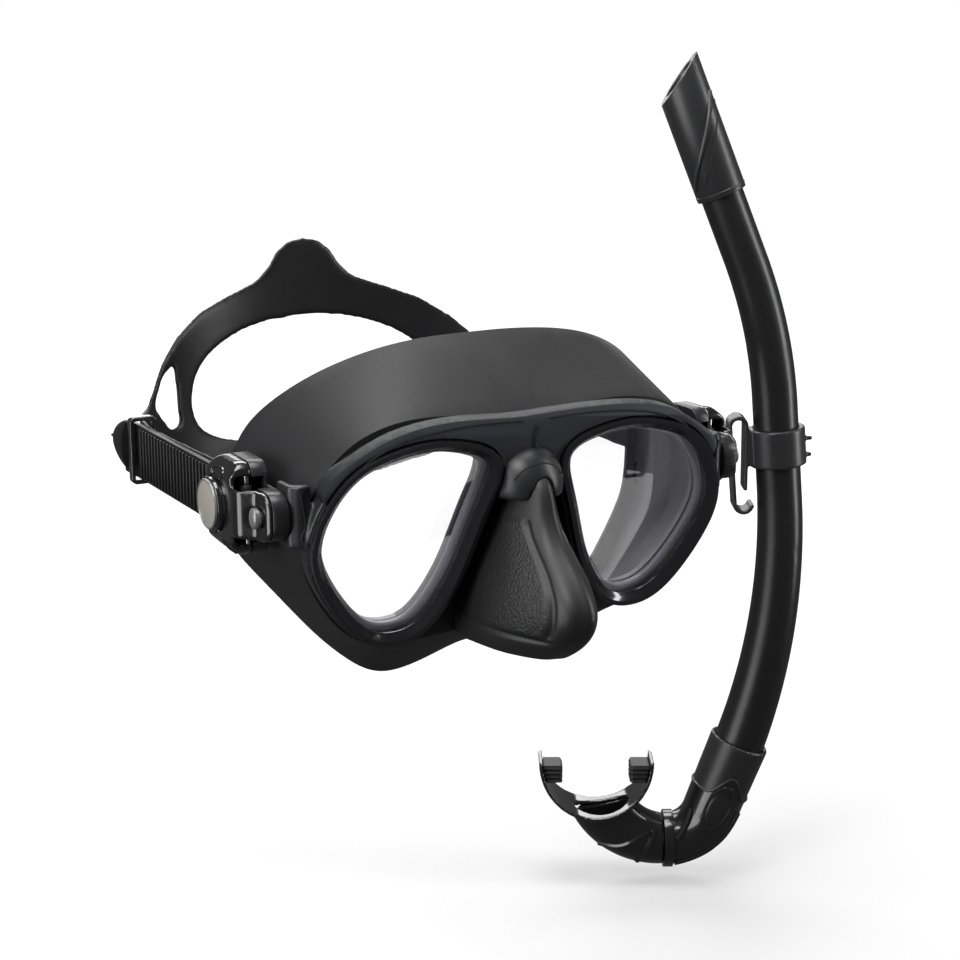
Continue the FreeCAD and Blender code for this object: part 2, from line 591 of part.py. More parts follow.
def swivel_ring(end):
    """Ring at the elbow's mouth in which the mouthpiece turns."""
    ring_solid = Part.makeCylinder(12.6, 4.0, end + Vector(2.2, 0, 0), Vector(-1, 0, 0))
    return placed(ring_solid.cut(Part.makeCylinder(ELBOW_R, 2.2, end + Vector(2.2, 0, 0), Vector(-1, 0, 0)))
                  .cut(Part.makeCylinder(9.6, 9, end + Vector(3, 0, 0), Vector(-1, 0, 0))))


def throat_section(start, share, grow):
    """Oval across the mouthpiece's throat, a share of the way along its turn."""
    lean = -90 - MOUTH_TURN * share
    side = Vector(-heading(lean).z, 0, heading(lean).x)
    point = start + Vector(0, 0, MOUTH_BEND) + side * MOUTH_BEND
    short = 11.2 - 1.6 * share + grow
    ellipse = Part.Ellipse(Vector(0, 0, 0), short + 0.01 + 4.4 * share, short)
    wire = Part.Wire(ellipse.toShape())
    wire.Placement = FreeCAD.Placement(point, Rotation(side, Vector(0, 1, 0), heading(lean), "XYZ"))
    return wire, heading(lean)


def throat(start, grow):
    """Loft of the mouthpiece's throat: a circle that turns upwards and widens into an oval."""
    steps = 4
    sections = [throat_section(start, i / steps, grow)[0] for i in range(steps + 1)]
    return Part.makeLoft(sections, True, False)


def airway(start):
    """Way through the throat and on through the lip shield."""
    mouth, way = throat_section(start, 1.0, -2.4)
    return throat(start, -2.4).fuse(Part.Face(mouth).extrude(way * 14))


def mouthpiece(end):
    """Soft throat, and the round spigot that turns in the elbow's ring."""
    start = end + Vector(-2.0, 0, 0)
    solid = throat(start, 0)
    bore = airway(start)
    spigot = Part.makeCylinder(9.5, 3.6, start + Vector(1.6, 0, 0), Vector(-1, 0, 0))
    spigot = spigot.cut(Part.makeCylinder(7.8, 6.0, start + Vector(3, 0, 0), Vector(-1, 0, 0)))
    return placed(solid.cut(bore).fuse(spigot).cut(flange_cylinder(start, FLANGE_R + FLANGE_T)))


def flange_centre(start):
    """Centre of the lip shield's curve."""
    return start + Vector(-30.0, 0, 37.9)


def flange_cylinder(start, radius):
    """Round bar across the mouthpiece that the lip shield bends round."""
    return Part.makeCylinder(radius, 80, flange_centre(start) + Vector(0, -40, 0), Vector(0, 1, 0))


def lip_shield(end):
    """Curved shield that lies between the lips and the teeth."""
    start = end + Vector(-2.0, 0, 0)
    shell = flange_cylinder(start, FLANGE_R + FLANGE_T).cut(flange_cylinder(start, FLANGE_R))
    ball = Part.makeSphere(1.0)
    scale = Matrix()
    scale.scale(FLANGE_HALF + 14, FLANGE_HALF, FLANGE_R + 12)
    limit = ball.transformGeometry(scale)
    limit.translate(flange_centre(start) + Vector(0, 0, -4))
    lowered = box((-200, -60, -300), (0, 60, flange_centre(start).z + 0.5))
    shell = shell.common(limit).common(lowered)
    return placed(shell.cut(airway(start)))


def bite_tab(end, side):
    """Lug that the teeth grip, inside one end of the lip shield."""
    start = end + Vector(-2.0, 0, 0)
    centre = flange_centre(start)
    outer = FLANGE_R - 0.05
    block = box((outer - 8.5, -5.5, -9.5), (outer, 5.5, -1.5))
    block = block.common(Part.makeCylinder(outer, 80, Vector(0, -40, 0), Vector(0, 1, 0)))
    upright = [e for e in block.Edges if abs(e.Vertexes[0].Point.z - e.Vertexes[-1].Point.z) > 5]
    block = block.makeFillet(0.8, upright[:2]) if len(upright) > 1 else block
    if side < 0:
        block = mirrored(block)
    block.translate(centre)
    return placed(block)


def keeper():
    """Collar that slides on the tube, with the sprung hook that takes the mask's strap."""
    way = heading(MID_LEAN)
    high = Vector(MID_R, 0, MID_HIGH)
    start = high + way * 10.8
    collar = Part.makeCylinder(KEEPER_R, KEEPER_H, start, way)
    block = box((-14.6, -HOOK_WIDTH / 2, -22.6), (-6, HOOK_WIDTH / 2, -7.4))
    nubs = [rod(1.0, (10.5, 0, z), (14.4, 0, z)) for z in (-11.5, -18.5)]
    centre_line = [Vector(-13.6, 0, -33.2), Vector(-14.0, 0, -6.0)]
    top_turn = Part.Arc(centre_line[1], Vector(-17.4, 0, -2.2), Vector(-20.8, 0, -6.2)).toShape()
    outer_leg = Part.makeLine(Vector(-20.8, 0, -6.2), Vector(-17.8, 0, -38.6))
    low_turn = Part.Arc(Vector(-17.8, 0, -38.6), Vector(-14.2, 0, -42.8), Vector(-10.4, 0, -39.4)).toShape()
    lines = [Part.makeLine(*centre_line), top_turn, outer_leg, low_turn]
    hook_parts = []
    for edge in lines:
        start_point = edge.Vertexes[0].Point
        tangent = edge.tangentAt(edge.FirstParameter)
        normal = tangent.cross(Vector(0, 1, 0))
        half = Vector(0, HOOK_WIDTH / 2, 0)
        wall = normal * (HOOK_T / 2)
        profile = Part.makePolygon([start_point + half + wall, start_point - half + wall,
                                    start_point - half - wall, start_point + half - wall,
                                    start_point + half + wall])
        hook_parts.append(Part.Wire([edge]).makePipeShell([Part.Wire(profile.Edges)], True, True))
    solid = collar.multiFuse([block] + nubs + hook_parts)
    return placed(solid.cut(Part.makeCylinder(TUBE_R + 0.08, 80, high - way * 20, way)))


# ---------------------------------------------------------------- nodes
def main():
    """Builds every node and writes its STEP file."""
    shell = buckle_shell()
    elbow_solid, mouth_end = elbow()
    sided = {
        "bezel": bezel(), "lens": lens(), "lens_gasket": lens_gasket(), "pivot_rivet": pivot_rivet(),
        "buckle_base": buckle_base(shell), "buckle_cover": buckle_cover(shell), "roller": roller(),
        "roller_axle": roller_axle(), "pawl": pawl(), "pawl_pin": pawl_pin(),
        "release_button": release_button(), "button_disc": button_disc(),
        "button_spring": button_spring(), "strap_end": strap_end(), "keeper_ring": keeper_ring(),
    }
    nodes = {
        "main_frame": main_frame(), "brow_bar": brow_bar(), "bridge_hood": bridge_hood(),
        "skirt": skirt(), "seal_lip": seal_lip(), "nose_pocket": nose_pocket(), "headband": headband(),
        "snorkel_tube": snorkel_tube(), "top_sleeve": top_sleeve(), "elbow": elbow_solid,
        "elbow_badge": elbow_badge().cut(elbow_solid), "swivel_ring": swivel_ring(mouth_end).cut(elbow_solid),
        "mouthpiece": mouthpiece(mouth_end), "lip_shield": lip_shield(mouth_end),
        "bite_tab_right": bite_tab(mouth_end, -1), "bite_tab_left": bite_tab(mouth_end, 1),
        "snorkel_keeper": keeper(),
    }
    for name, shape in sided.items():
        nodes[name + "_left"] = shape
        nodes[name + "_right"] = mirrored(shape)
    os.makedirs("parts", exist_ok=True)
    for name, shape in nodes.items():
        shape.exportStep(f"parts/{name}.step")
        extent = shape.BoundBox
        print(f"{name:22s} solids {len(shape.Solids)} valid {shape.isValid()} volume {shape.Volume:9.1f} "
              f"x {extent.XMin:7.1f} {extent.XMax:7.1f} y {extent.YMin:7.1f} {extent.YMax:7.1f} "
              f"z {extent.ZMin:7.1f} {extent.ZMax:7.1f}")


main()
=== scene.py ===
"""Looks of the snorkel mask set: a two-lens diving mask with its strap harness, and its snorkel.

Row frame in metres: +Z up, the mask looks along -Y, +X is the wearer's left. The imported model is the
fixed frame. Each sub-assembly is a class that builds its own pieces. Sizes are in millimetres.
"""

import json
import logging
import math
from dataclasses import dataclass
from enum import Enum
from functools import cache
from typing import Sequence

import bmesh
import bpy
from mathutils import Matrix, Vector
from mathutils.bvhtree import BVHTree

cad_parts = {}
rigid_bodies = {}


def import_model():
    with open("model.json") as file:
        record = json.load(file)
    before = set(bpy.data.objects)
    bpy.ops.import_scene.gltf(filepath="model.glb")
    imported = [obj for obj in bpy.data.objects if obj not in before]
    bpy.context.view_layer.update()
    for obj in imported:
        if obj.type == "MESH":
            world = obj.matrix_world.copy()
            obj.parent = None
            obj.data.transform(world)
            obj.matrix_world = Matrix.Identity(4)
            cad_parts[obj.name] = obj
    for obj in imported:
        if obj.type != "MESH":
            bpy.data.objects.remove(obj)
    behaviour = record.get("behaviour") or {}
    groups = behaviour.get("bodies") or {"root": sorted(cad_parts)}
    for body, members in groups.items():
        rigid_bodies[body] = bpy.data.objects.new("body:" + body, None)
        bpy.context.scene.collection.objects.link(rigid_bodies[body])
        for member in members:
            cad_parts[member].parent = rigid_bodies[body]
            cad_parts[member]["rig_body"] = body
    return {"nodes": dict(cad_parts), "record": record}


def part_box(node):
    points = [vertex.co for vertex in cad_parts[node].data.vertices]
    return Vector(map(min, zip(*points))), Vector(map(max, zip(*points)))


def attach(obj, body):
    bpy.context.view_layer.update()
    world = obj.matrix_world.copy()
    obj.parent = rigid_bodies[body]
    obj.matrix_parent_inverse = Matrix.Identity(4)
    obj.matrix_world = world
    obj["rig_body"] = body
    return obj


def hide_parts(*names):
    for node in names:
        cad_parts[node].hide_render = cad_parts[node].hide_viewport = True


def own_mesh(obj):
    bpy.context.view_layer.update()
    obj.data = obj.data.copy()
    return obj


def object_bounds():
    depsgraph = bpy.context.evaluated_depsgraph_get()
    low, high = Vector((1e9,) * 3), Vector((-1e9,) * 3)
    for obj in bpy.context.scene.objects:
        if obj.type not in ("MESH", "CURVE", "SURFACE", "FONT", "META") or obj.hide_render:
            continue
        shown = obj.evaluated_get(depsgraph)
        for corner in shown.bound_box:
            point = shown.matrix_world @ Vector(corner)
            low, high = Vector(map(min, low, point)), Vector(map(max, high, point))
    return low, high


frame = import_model()
CAD_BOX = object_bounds()
LOG = logging.getLogger("snorkel_mask")
MM = 0.001                          # metres in a millimetre
MERGE_GAP = 0.001 * MM              # points nearer than this are one point
FLAT_TURN = 0.6                     # degrees; faces that turn by less are joined into one
BEVEL_TURN = 32.0                   # degrees; edges that turn by more are rounded
HARD_TURN, SOFT_TURN = 38.0, 60.0   # degrees; sharper edges stay sharp on hard and on soft pieces
SMOOTH_SHARE = 0.5                  # of the way to its neighbours' mean that a point moves in one pass
LENS_TILT, LENS_PLANE_Y = 10.7, -48.0
SNORKEL_YAW, SNORKEL_PLACE = -28.8, (187.0, 62.0, 0.0)
RAY_START = 150.0                   # millimetres from the middle, clear of the mask
SNORKEL_RAY_START = -60.0           # the same, from the snorkel's own plane

Form = bmesh.types.BMesh
Tree = bpy.types.NodeTree
Node = bpy.types.Node
Piece = bpy.types.Object
Material = bpy.types.Material
Pair = tuple[float, float]
Triple = tuple[float, float, float]
Line = tuple[Pair, ...]
Soft = tuple[float, int]            # voxel in millimetres, and smoothing passes


class Side(Enum):
    """The wearer's left and right, with the sign of X on that side."""

    LEFT = 1
    RIGHT = -1

    @property
    def word(self) -> str:
        """Ending that node names have on this side."""
        return self.name.lower()


class Grain(Enum):
    """Kinds of fine surface relief: the noise's scale, and its stretch along Z."""

    MOULDED = (2600.0, 1.0)
    BRUSHED = (4200.0, 0.03)
    STIPPLED = (1150.0, 1.0)
    POLISHED = (300.0, 1.0)


# ---- shader groups
def add_node(tree: Tree, kind: str, operation: str = "",
             values: dict[str | int, object] | None = None) -> Node:
    """Adds a shader node.

    Args:
        tree: the tree it is for.
        kind: its type, without the word ShaderNode.
        operation: what it does, for the kinds that have a choice.
        values: the sockets that are set, by name or number.

    Returns:
        The node.
    """
    node = tree.nodes.new(f"ShaderNode{kind}")
    if operation:
        node.operation = operation
    set_inputs(node, values or {})
    return node


def set_inputs(node: Node, values: dict[str | int, object]) -> None:
    """Sets a node's unlinked sockets, by name or number."""
    for socket, value in values.items():
        node.inputs[socket].default_value = value


class SurfaceGroups:
    """Shader node groups that several finishes share, each built once."""

    @staticmethod
    def _new(name: str, inputs: Sequence[tuple[str, str, object]],
             outputs: Sequence[tuple[str, str]]) -> tuple[Tree, Node, Node]:
        """Starts a group with its sockets.

        Args:
            name: the group's name.
            inputs: name, kind and default value of each input socket.
            outputs: name and kind of each output socket.

        Returns:
            The tree, its input node and its output node.
        """
        tree = bpy.data.node_groups.new(name, "ShaderNodeTree")
        for label, kind, value in inputs:
            socket = tree.interface.new_socket(name=label, in_out="INPUT",
                                               socket_type=f"NodeSocket{kind}")
            if value is not None:
                socket.default_value = value
        for label, kind in outputs:
            tree.interface.new_socket(name=label, in_out="OUTPUT", socket_type=f"NodeSocket{kind}")
        return tree, tree.nodes.new("NodeGroupInput"), tree.nodes.new("NodeGroupOutput")

    @staticmethod
    @cache
    def grain() -> Tree:
        """Fine moulded grain: a height and a slow variation of roughness.

        Returns:
            The group.
        """
        tree, source, sink = SurfaceGroups._new(
            "fine_grain",
            [("Vector", "Vector", None), ("Scale", "Float", 1500.0),
             ("Stretch", "Vector", (1.0, 1.0, 1.0)), ("Roughness", "Float", 0.5),
             ("Spread", "Float", 0.06)],
            [("Height", "Float"), ("Roughness", "Float")])
        stretched = add_node(tree, "VectorMath", "MULTIPLY")
        fine = add_node(tree, "TexNoise", values={"Detail": 3.0})
        slow = add_node(tree, "TexNoise", values={"Detail": 4.0, "Scale": 55.0})
        centred = add_node(tree, "Math", "SUBTRACT", {1: 0.5})
        spread = add_node(tree, "Math", "MULTIPLY")
        total = add_node(tree, "Math", "ADD")
        joins = (
            (source.outputs["Vector"], stretched.inputs[0]),
            (source.outputs["Stretch"], stretched.inputs[1]),
            (stretched.outputs[0], fine.inputs["Vector"]),
            (source.outputs["Scale"], fine.inputs["Scale"]),
            (source.outputs["Vector"], slow.inputs["Vector"]),
            (slow.outputs["Fac"], centred.inputs[0]),
            (centred.outputs[0], spread.inputs[0]),
            (source.outputs["Spread"], spread.inputs[1]),
            (spread.outputs[0], total.inputs[0]),
            (source.outputs["Roughness"], total.inputs[1]),
            (fine.outputs["Fac"], sink.inputs["Height"]),
            (total.outputs[0], sink.inputs["Roughness"]))
        for start, end in joins:
            tree.links.new(start, end)
        return tree

    @staticmethod
    @cache
    def tone() -> Tree:
        """Uneven tone: cloudy shifts of colour and a little dust that settles on what faces up.

        Returns:
            The group.
        """
        tree, source, sink = SurfaceGroups._new(
            "uneven_tone",
            [("Vector", "Vector", None), ("Colour", "Color", (0.5, 0.5, 0.5, 1.0)),
             ("Shift", "Float", 0.15), ("Dust", "Float", 0.02)],
            [("Colour", "Color")])
        cloud = add_node(tree, "TexNoise", values={"Detail": 5.0, "Scale": 38.0})
        about_one = add_node(tree, "MapRange", values={"To Min": -1.0, "To Max": 1.0})
        share = add_node(tree, "Math", "MULTIPLY")
        gain = add_node(tree, "Math", "ADD", {1: 1.0})
        toned = add_node(tree, "VectorMath", "SCALE")
        geometry = add_node(tree, "NewGeometry")
        parts = add_node(tree, "SeparateXYZ")
        facing_up = add_node(tree, "MapRange", values={"From Min": 0.2})
        specks = add_node(tree, "TexNoise", values={"Detail": 6.0, "Scale": 420.0})
        settled = add_node(tree, "Math", "MULTIPLY")
        strength = add_node(tree, "Math", "MULTIPLY")
        dusty = add_node(tree, "Mix")
        dusty.data_type = "RGBA"
        set_inputs(dusty, {"B": (0.32, 0.31, 0.30, 1.0)})
        joins = (
            (source.outputs["Vector"], cloud.inputs["Vector"]),
            (cloud.outputs["Fac"], about_one.inputs["Value"]),
            (about_one.outputs["Result"], share.inputs[0]),
            (source.outputs["Shift"], share.inputs[1]),
            (share.outputs[0], gain.inputs[0]),
            (source.outputs["Colour"], toned.inputs[0]),
            (gain.outputs[0], toned.inputs["Scale"]),
            (geometry.outputs["Normal"], parts.inputs[0]),
            (parts.outputs["Z"], facing_up.inputs["Value"]),
            (source.outputs["Vector"], specks.inputs["Vector"]),
            (facing_up.outputs["Result"], settled.inputs[0]),
            (specks.outputs["Fac"], settled.inputs[1]),
            (settled.outputs[0], strength.inputs[0]),
            (source.outputs["Dust"], strength.inputs[1]),
            (strength.outputs[0], dusty.inputs["Factor"]),
            (toned.outputs[0], dusty.inputs["A"]),
            (dusty.outputs["Result"], sink.inputs["Colour"]))
        for start, end in joins:
            tree.links.new(start, end)
        return tree


# ---- finishes
@dataclass(frozen=True)
class Finish:
    """A moulded, brushed or polished finish."""

    name: str
    slot: str
    colour: Triple
    roughness: float
    grain: Grain = Grain.MOULDED
    relief: float = 0.12
    shift: float = 0.15
    dust: float = 0.02
    spread: float = 0.08
    coat: float = 0.0
    coat_roughness: float = 0.05
    metallic: float = 0.0
    specular: float = 0.5
    mask: str = ""
    depth: float = 0.12

    @cache
    def material(self) -> Material:
        """Makes the material, once.

        Returns:
            The material, whose pattern follows Object coordinates.
        """
        made = bpy.data.materials.new(self.name)
        made.use_nodes = True
        tree, links = made.node_tree, made.node_tree.links
        shader = tree.nodes["Principled BSDF"]
        place = add_node(tree, "TexCoord")
        scale, stretch = self.grain.value
        grain = add_node(tree, "Group")
        grain.node_tree = SurfaceGroups.grain()
        set_inputs(grain, {"Scale": scale, "Stretch": (1.0, 1.0, stretch), "Roughness": self.roughness,
                           "Spread": self.spread})
        tone = add_node(tree, "Group")
        tone.node_tree = SurfaceGroups.tone()
        set_inputs(tone, {"Colour": (*self.colour, 1.0), "Shift": self.shift, "Dust": self.dust})
        bump = add_node(tree, "Bump", values={"Strength": self.relief, "Distance": self.depth * MM})
        links.new(place.outputs["Object"], grain.inputs["Vector"])
        links.new(place.outputs["Object"], tone.inputs["Vector"])
        links.new(tone.outputs["Colour"], shader.inputs["Base Color"])
        links.new(grain.outputs["Roughness"], shader.inputs["Roughness"])
        height = grain.outputs["Height"]
        if self.mask:
            panel = add_node(tree, "Attribute")
            panel.attribute_name = self.mask
            masked = add_node(tree, "Math", "MULTIPLY")
            links.new(height, masked.inputs[0])
            links.new(panel.outputs["Fac"], masked.inputs[1])
            height = masked.outputs[0]
        links.new(height, bump.inputs["Height"])
        links.new(bump.outputs["Normal"], shader.inputs["Normal"])
        set_inputs(shader, {"Metallic": self.metallic, "Coat Weight": self.coat,
                            "Coat Roughness": self.coat_roughness, "Specular IOR Level": self.specular})
        made.diffuse_color = (*self.colour, 1.0)
        return made


@dataclass(frozen=True)
class Glass:
    """Clear tempered glass with a thin grey-lilac cast."""

    name: str
    slot: str
    tint: Triple
    alpha: float
    smear_scale: float = 240.0
    roughness: float = 0.03
    spread: float = 0.03
    ior: float = 1.45

    @cache
    def material(self) -> Material:
        """Makes the material, once.

        Returns:
            The material: mostly see-through, with a plain transmission and faint smears in its roughness.
        """
        made = bpy.data.materials.new(self.name)
        made.use_nodes = True
        tree, links = made.node_tree, made.node_tree.links
        shader = tree.nodes["Principled BSDF"]
        place = add_node(tree, "TexCoord")
        smear = add_node(tree, "Group")
        smear.node_tree = SurfaceGroups.grain()
        set_inputs(smear, {"Scale": self.smear_scale, "Roughness": self.roughness, "Spread": self.spread})
        links.new(place.outputs["Object"], smear.inputs["Vector"])
        links.new(smear.outputs["Roughness"], shader.inputs["Roughness"])
        set_inputs(shader, {"Base Color": (*self.tint, 1.0), "Transmission Weight": 1.0, "IOR": self.ior,
                            "Alpha": self.alpha})
        return made


GLOSS = {"grain": Grain.POLISHED, "relief": 0.02}


class Finishes:
    """Every finish of the set."""

    SKIRT = Finish("matte_silicone", "silicone", (0.0125, 0.0128, 0.014), 0.52, relief=0.22, dust=0.035,
                   specular=0.4)
    SKIRT_INSIDE = Finish("light_silicone_inside", "silicone", (0.42, 0.41, 0.45), 0.38, relief=0.05,
                          dust=0.0)
    NOSE = Finish("stippled_silicone", "silicone_nose", (0.0105, 0.0108, 0.0118), 0.46,
                  grain=Grain.STIPPLED, relief=1.0, dust=0.03, mask="panel", depth=0.6)
    FRAME = Finish("satin_frame", "frame", (0.0145, 0.015, 0.0175), 0.38, relief=0.08)
    BROW = Finish("satin_brow", "frame_trim", (0.011, 0.0115, 0.0135), 0.5, relief=0.06, shift=0.08,
                  specular=0.3)
    TRIM = Finish("satin_trim", "frame_trim", (0.050, 0.052, 0.062), 0.42, relief=0.06, shift=0.08)
    BEZEL = Finish("gloss_bezel", "bezel", (0.012, 0.012, 0.015), 0.2, **GLOSS, coat=0.6)
    # Near-black finish for beads along grooves, slots and parting lines: its colour paints the shade that
    # falls in those recesses.
    SEAM = Finish("parting_line", "frame", (0.003, 0.003, 0.004), 0.7, relief=0.02, dust=0.0)
    GASKET = Finish("grey_gasket", "gasket", (0.34, 0.33, 0.37), 0.35, relief=0.04, dust=0.0)
    STRAP = Finish("matte_strap", "strap", (0.0055, 0.0055, 0.0065), 0.4, relief=0.14, dust=0.01,
                   specular=0.45)
    RING = Finish("gloss_ring", "keeper_ring", (0.012, 0.012, 0.013), 0.18, **GLOSS, coat=0.7)
    BUCKLE = Finish("piano_black", "buckle", (0.006, 0.006, 0.007), 0.2, **GLOSS, coat=0.7,
                    coat_roughness=0.09, spread=0.05)
    BUCKLE_INNER = Finish("satin_inner", "buckle_inner", (0.016, 0.016, 0.018), 0.34)
    BUTTON = Finish("button_black", "button", (0.010, 0.010, 0.011), 0.16, **GLOSS, coat=0.8)
    DISC = Finish("brushed_disc", "disc", (0.46, 0.43, 0.39), 0.42, grain=Grain.BRUSHED, relief=0.35,
                  shift=0.1, metallic=0.45, spread=0.12)
    RIVET = Finish("dull_rivet", "rivet", (0.24, 0.24, 0.25), 0.34, grain=Grain.BRUSHED, metallic=0.5)
    ROLLER = Finish("satin_roller", "roller", (0.03, 0.03, 0.033), 0.4)
    PIN = Finish("bright_pin", "steel_pin", (0.55, 0.55, 0.57), 0.25, grain=Grain.BRUSHED, metallic=1.0,
                 dust=0.0)
    TUBE = Finish("satin_tube", "tube", (0.011, 0.0112, 0.0122), 0.33, relief=0.04, dust=0.01)
    SLEEVE = Finish("satin_sleeve", "sleeve", (0.022, 0.0225, 0.024), 0.36, relief=0.08)
    ELBOW = Finish("gloss_elbow", "elbow", (0.011, 0.011, 0.012), 0.2, **GLOSS, coat=0.5)
    BADGE = Finish("satin_badge", "badge", (0.017, 0.017, 0.018), 0.32)
    MOUTH = Finish("glossy_silicone", "mouth_silicone", (0.009, 0.009, 0.0095), 0.2, relief=0.04,
                   coat=0.6, coat_roughness=0.08)
    SHIELD = Finish("glossy_shield", "mouth_silicone", (0.009, 0.009, 0.0095), 0.09, relief=0.03,
                    coat=1.0, coat_roughness=0.04, spread=0.03)
    BITE = Finish("matte_bite_rubber", "bite_rubber", (0.011, 0.011, 0.0115), 0.5)
    KEEPER = Finish("satin_keeper", "keeper", (0.026, 0.0265, 0.029), 0.36)
    LENS = Glass("tempered_glass", "lens_glass", (0.95, 0.96, 0.98), 0.16)
    PLAIN = {"silicone": SKIRT, "silicone_nose": NOSE, "frame": FRAME, "frame_trim": TRIM,
             "bezel": BEZEL, "lens_glass": LENS, "gasket": GASKET, "strap": STRAP, "keeper_ring": RING,
             "buckle": BUCKLE, "buckle_inner": BUCKLE_INNER, "button": BUTTON, "disc": DISC,
             "rivet": RIVET, "roller": ROLLER, "steel_pin": PIN, "tube": TUBE, "sleeve": SLEEVE,
             "elbow": ELBOW, "badge": BADGE, "mouth_silicone": MOUTH, "bite_rubber": BITE,
             "keeper": KEEPER}


# ---- shared mesh work
def copied(node: str) -> Form:
    """Copies a CAD node's mesh and merges its loose triangles.

    Args:
        node: the CAD node's name.

    Returns:
        A new bmesh.
    """
    form = bmesh.new()
    form.from_mesh(frame["nodes"][node].data)
    bmesh.ops.remove_doubles(form, verts=form.verts, dist=MERGE_GAP)
    return form


def linked(name: str, data: bpy.types.ID) -> Piece:
    """Makes an object of some data and puts it in the scene."""
    made = bpy.data.objects.new(name, data)
    bpy.context.scene.collection.objects.link(made)
    return made


def meshed(form: Form, name: str) -> bpy.types.Mesh:
    """Turns a bmesh into a mesh, and frees it."""
    mesh = bpy.data.meshes.new(name)
    form.to_mesh(mesh)
    form.free()
    return mesh


def taken(holder: Piece) -> Form:
    """Turns an object's evaluated mesh into a bmesh, and removes the object."""
    ready = holder.evaluated_get(bpy.context.evaluated_depsgraph_get())
    mesh = bpy.data.meshes.new_from_object(ready)
    bpy.data.objects.remove(holder)
    form = bmesh.new()
    form.from_mesh(mesh)
    bpy.data.meshes.remove(mesh)
    return form


def finished(form: Form, name: str, finish: Finish | Glass, body: str,
             stands_for: Sequence[str] = (), smooth_angle: float = HARD_TURN) -> Piece:
    """Turns a bmesh into a finished piece that rides on a body.

    Args:
        form: the shape, which is freed.
        name: the piece's name.
        finish: its finish.
        body: the CAD body it moves with.
        stands_for: CAD nodes that it replaces.
        smooth_angle: edges sharper than this, in degrees, stay sharp.

    Returns:
        The new object.
    """
    mesh = meshed(form, name)
    mesh.shade_smooth()
    mesh.set_sharp_from_angle(angle=math.radians(smooth_angle))
    piece = linked(name, mesh)
    mesh.materials.append(finish.material())
    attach(piece, body)
    if stands_for:
        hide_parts(*stands_for)
    LOG.info("%s: %d faces on %s", name, len(mesh.polygons), body)
    return piece


def softened(node: str, voxel: float, passes: int) -> Form:
    """Remeshes a copy of a soft CAD node evenly and smooths it.

    Args:
        node: the CAD node's name.
        voxel: spacing of the new mesh, in millimetres.
        passes: how many times each point moves towards its neighbours' mean.

    Returns:
        The smoothed shape.
    """
    mesh = meshed(copied(node), "draft")
    draft = linked("draft", mesh)
    remesh = draft.modifiers.new("even", "REMESH")
    remesh.mode = "VOXEL"
    remesh.voxel_size = voxel * MM
    form = taken(draft)
    bpy.data.meshes.remove(mesh)
    for _ in range(passes):
        bmesh.ops.smooth_vert(form, verts=form.verts, factor=SMOOTH_SHARE, use_axis_x=True,
                              use_axis_y=True, use_axis_z=True)
    return form


def bevelled(form: Form, width: float, segments: int = 2) -> Form:
    """Rounds every edge that turns by more than BEVEL_TURN.

    Args:
        form: the shape, changed in place.
        width: bevel width in millimetres.
        segments: faces across the bevel.

    Returns:
        The same bmesh.
    """
    bmesh.ops.dissolve_limit(form, angle_limit=math.radians(FLAT_TURN), use_dissolve_boundaries=False,
                             verts=form.verts, edges=form.edges)
    least = math.radians(BEVEL_TURN)
    sharp = [edge for edge in form.edges if edge.is_manifold and edge.calc_face_angle(0.0) > least]
    bmesh.ops.bevel(form, geom=sharp, affect="EDGES", offset=width * MM, offset_type="OFFSET",
                    segments=segments, profile=0.5, material=-1, clamp_overlap=True)
    return form


def soft_piece(node: str, softness: Soft, name: str, finish: Finish, body: str,
               smooth_angle: float = SOFT_TURN) -> Piece:
    """Makes the softened piece that replaces one CAD node."""
    return finished(softened(node, *softness), name, finish, body, [node], smooth_angle)


def crisp_piece(node: str, width: float, name: str, finish: Finish, body: str,
                segments: int = 2) -> Piece:
    """Makes the bevelled piece that replaces one CAD node."""
    return finished(bevelled(copied(node), width, segments), name, finish, body, [node])


def bead(points: Sequence[Sequence[float]], radius: float, closed: bool = False) -> Form:
    """Makes a smooth round bead along a line.

    Args:
        points: the line's control points, in millimetres.
        radius: the bead's radius, in millimetres.
        closed: whether the line joins up with its start.

    Returns:
        The bead as a closed shape.
    """
    line = bpy.data.curves.new("line", "CURVE")
    line.dimensions = "3D"
    line.bevel_depth = radius * MM
    line.bevel_resolution = 2
    line.use_fill_caps = True
    spline = line.splines.new("NURBS")
    spline.points.add(len(points) - 1)
    for knot, place in zip(spline.points, points):
        knot.co = (*(Vector(place) * MM), 1.0)
    spline.order_u = 3
    spline.use_cyclic_u = closed
    spline.use_endpoint_u = not closed
    spline.resolution_u = 5
    form = taken(linked("line", line))
    bpy.data.curves.remove(line)
    bmesh.ops.remove_doubles(form, verts=form.verts, dist=MERGE_GAP)
    bmesh.ops.recalc_face_normals(form, faces=form.faces)
    return form


def bar(low: Sequence[float], high: Sequence[float], rounding: float) -> Form:
    """Makes a block between two corners with all its edges rounded.

    Args:
        low: lowest corner, in millimetres.
        high: highest corner, in millimetres.
        rounding: bevel width, in millimetres.

    Returns:
        The block.
    """
    form = bmesh.new()
    bmesh.ops.create_cube(form, size=1.0)
    size = [(b - a) * MM for a, b in zip(low, high)]
    bmesh.ops.scale(form, verts=form.verts, vec=size)
    bmesh.ops.translate(form, verts=form.verts, vec=[(a + b) / 2 * MM for a, b in zip(low, high)])
    bmesh.ops.bevel(form, geom=form.edges[:], affect="EDGES", offset=rounding * MM, segments=2,
                    profile=0.5, material=-1, clamp_overlap=True)
    return form


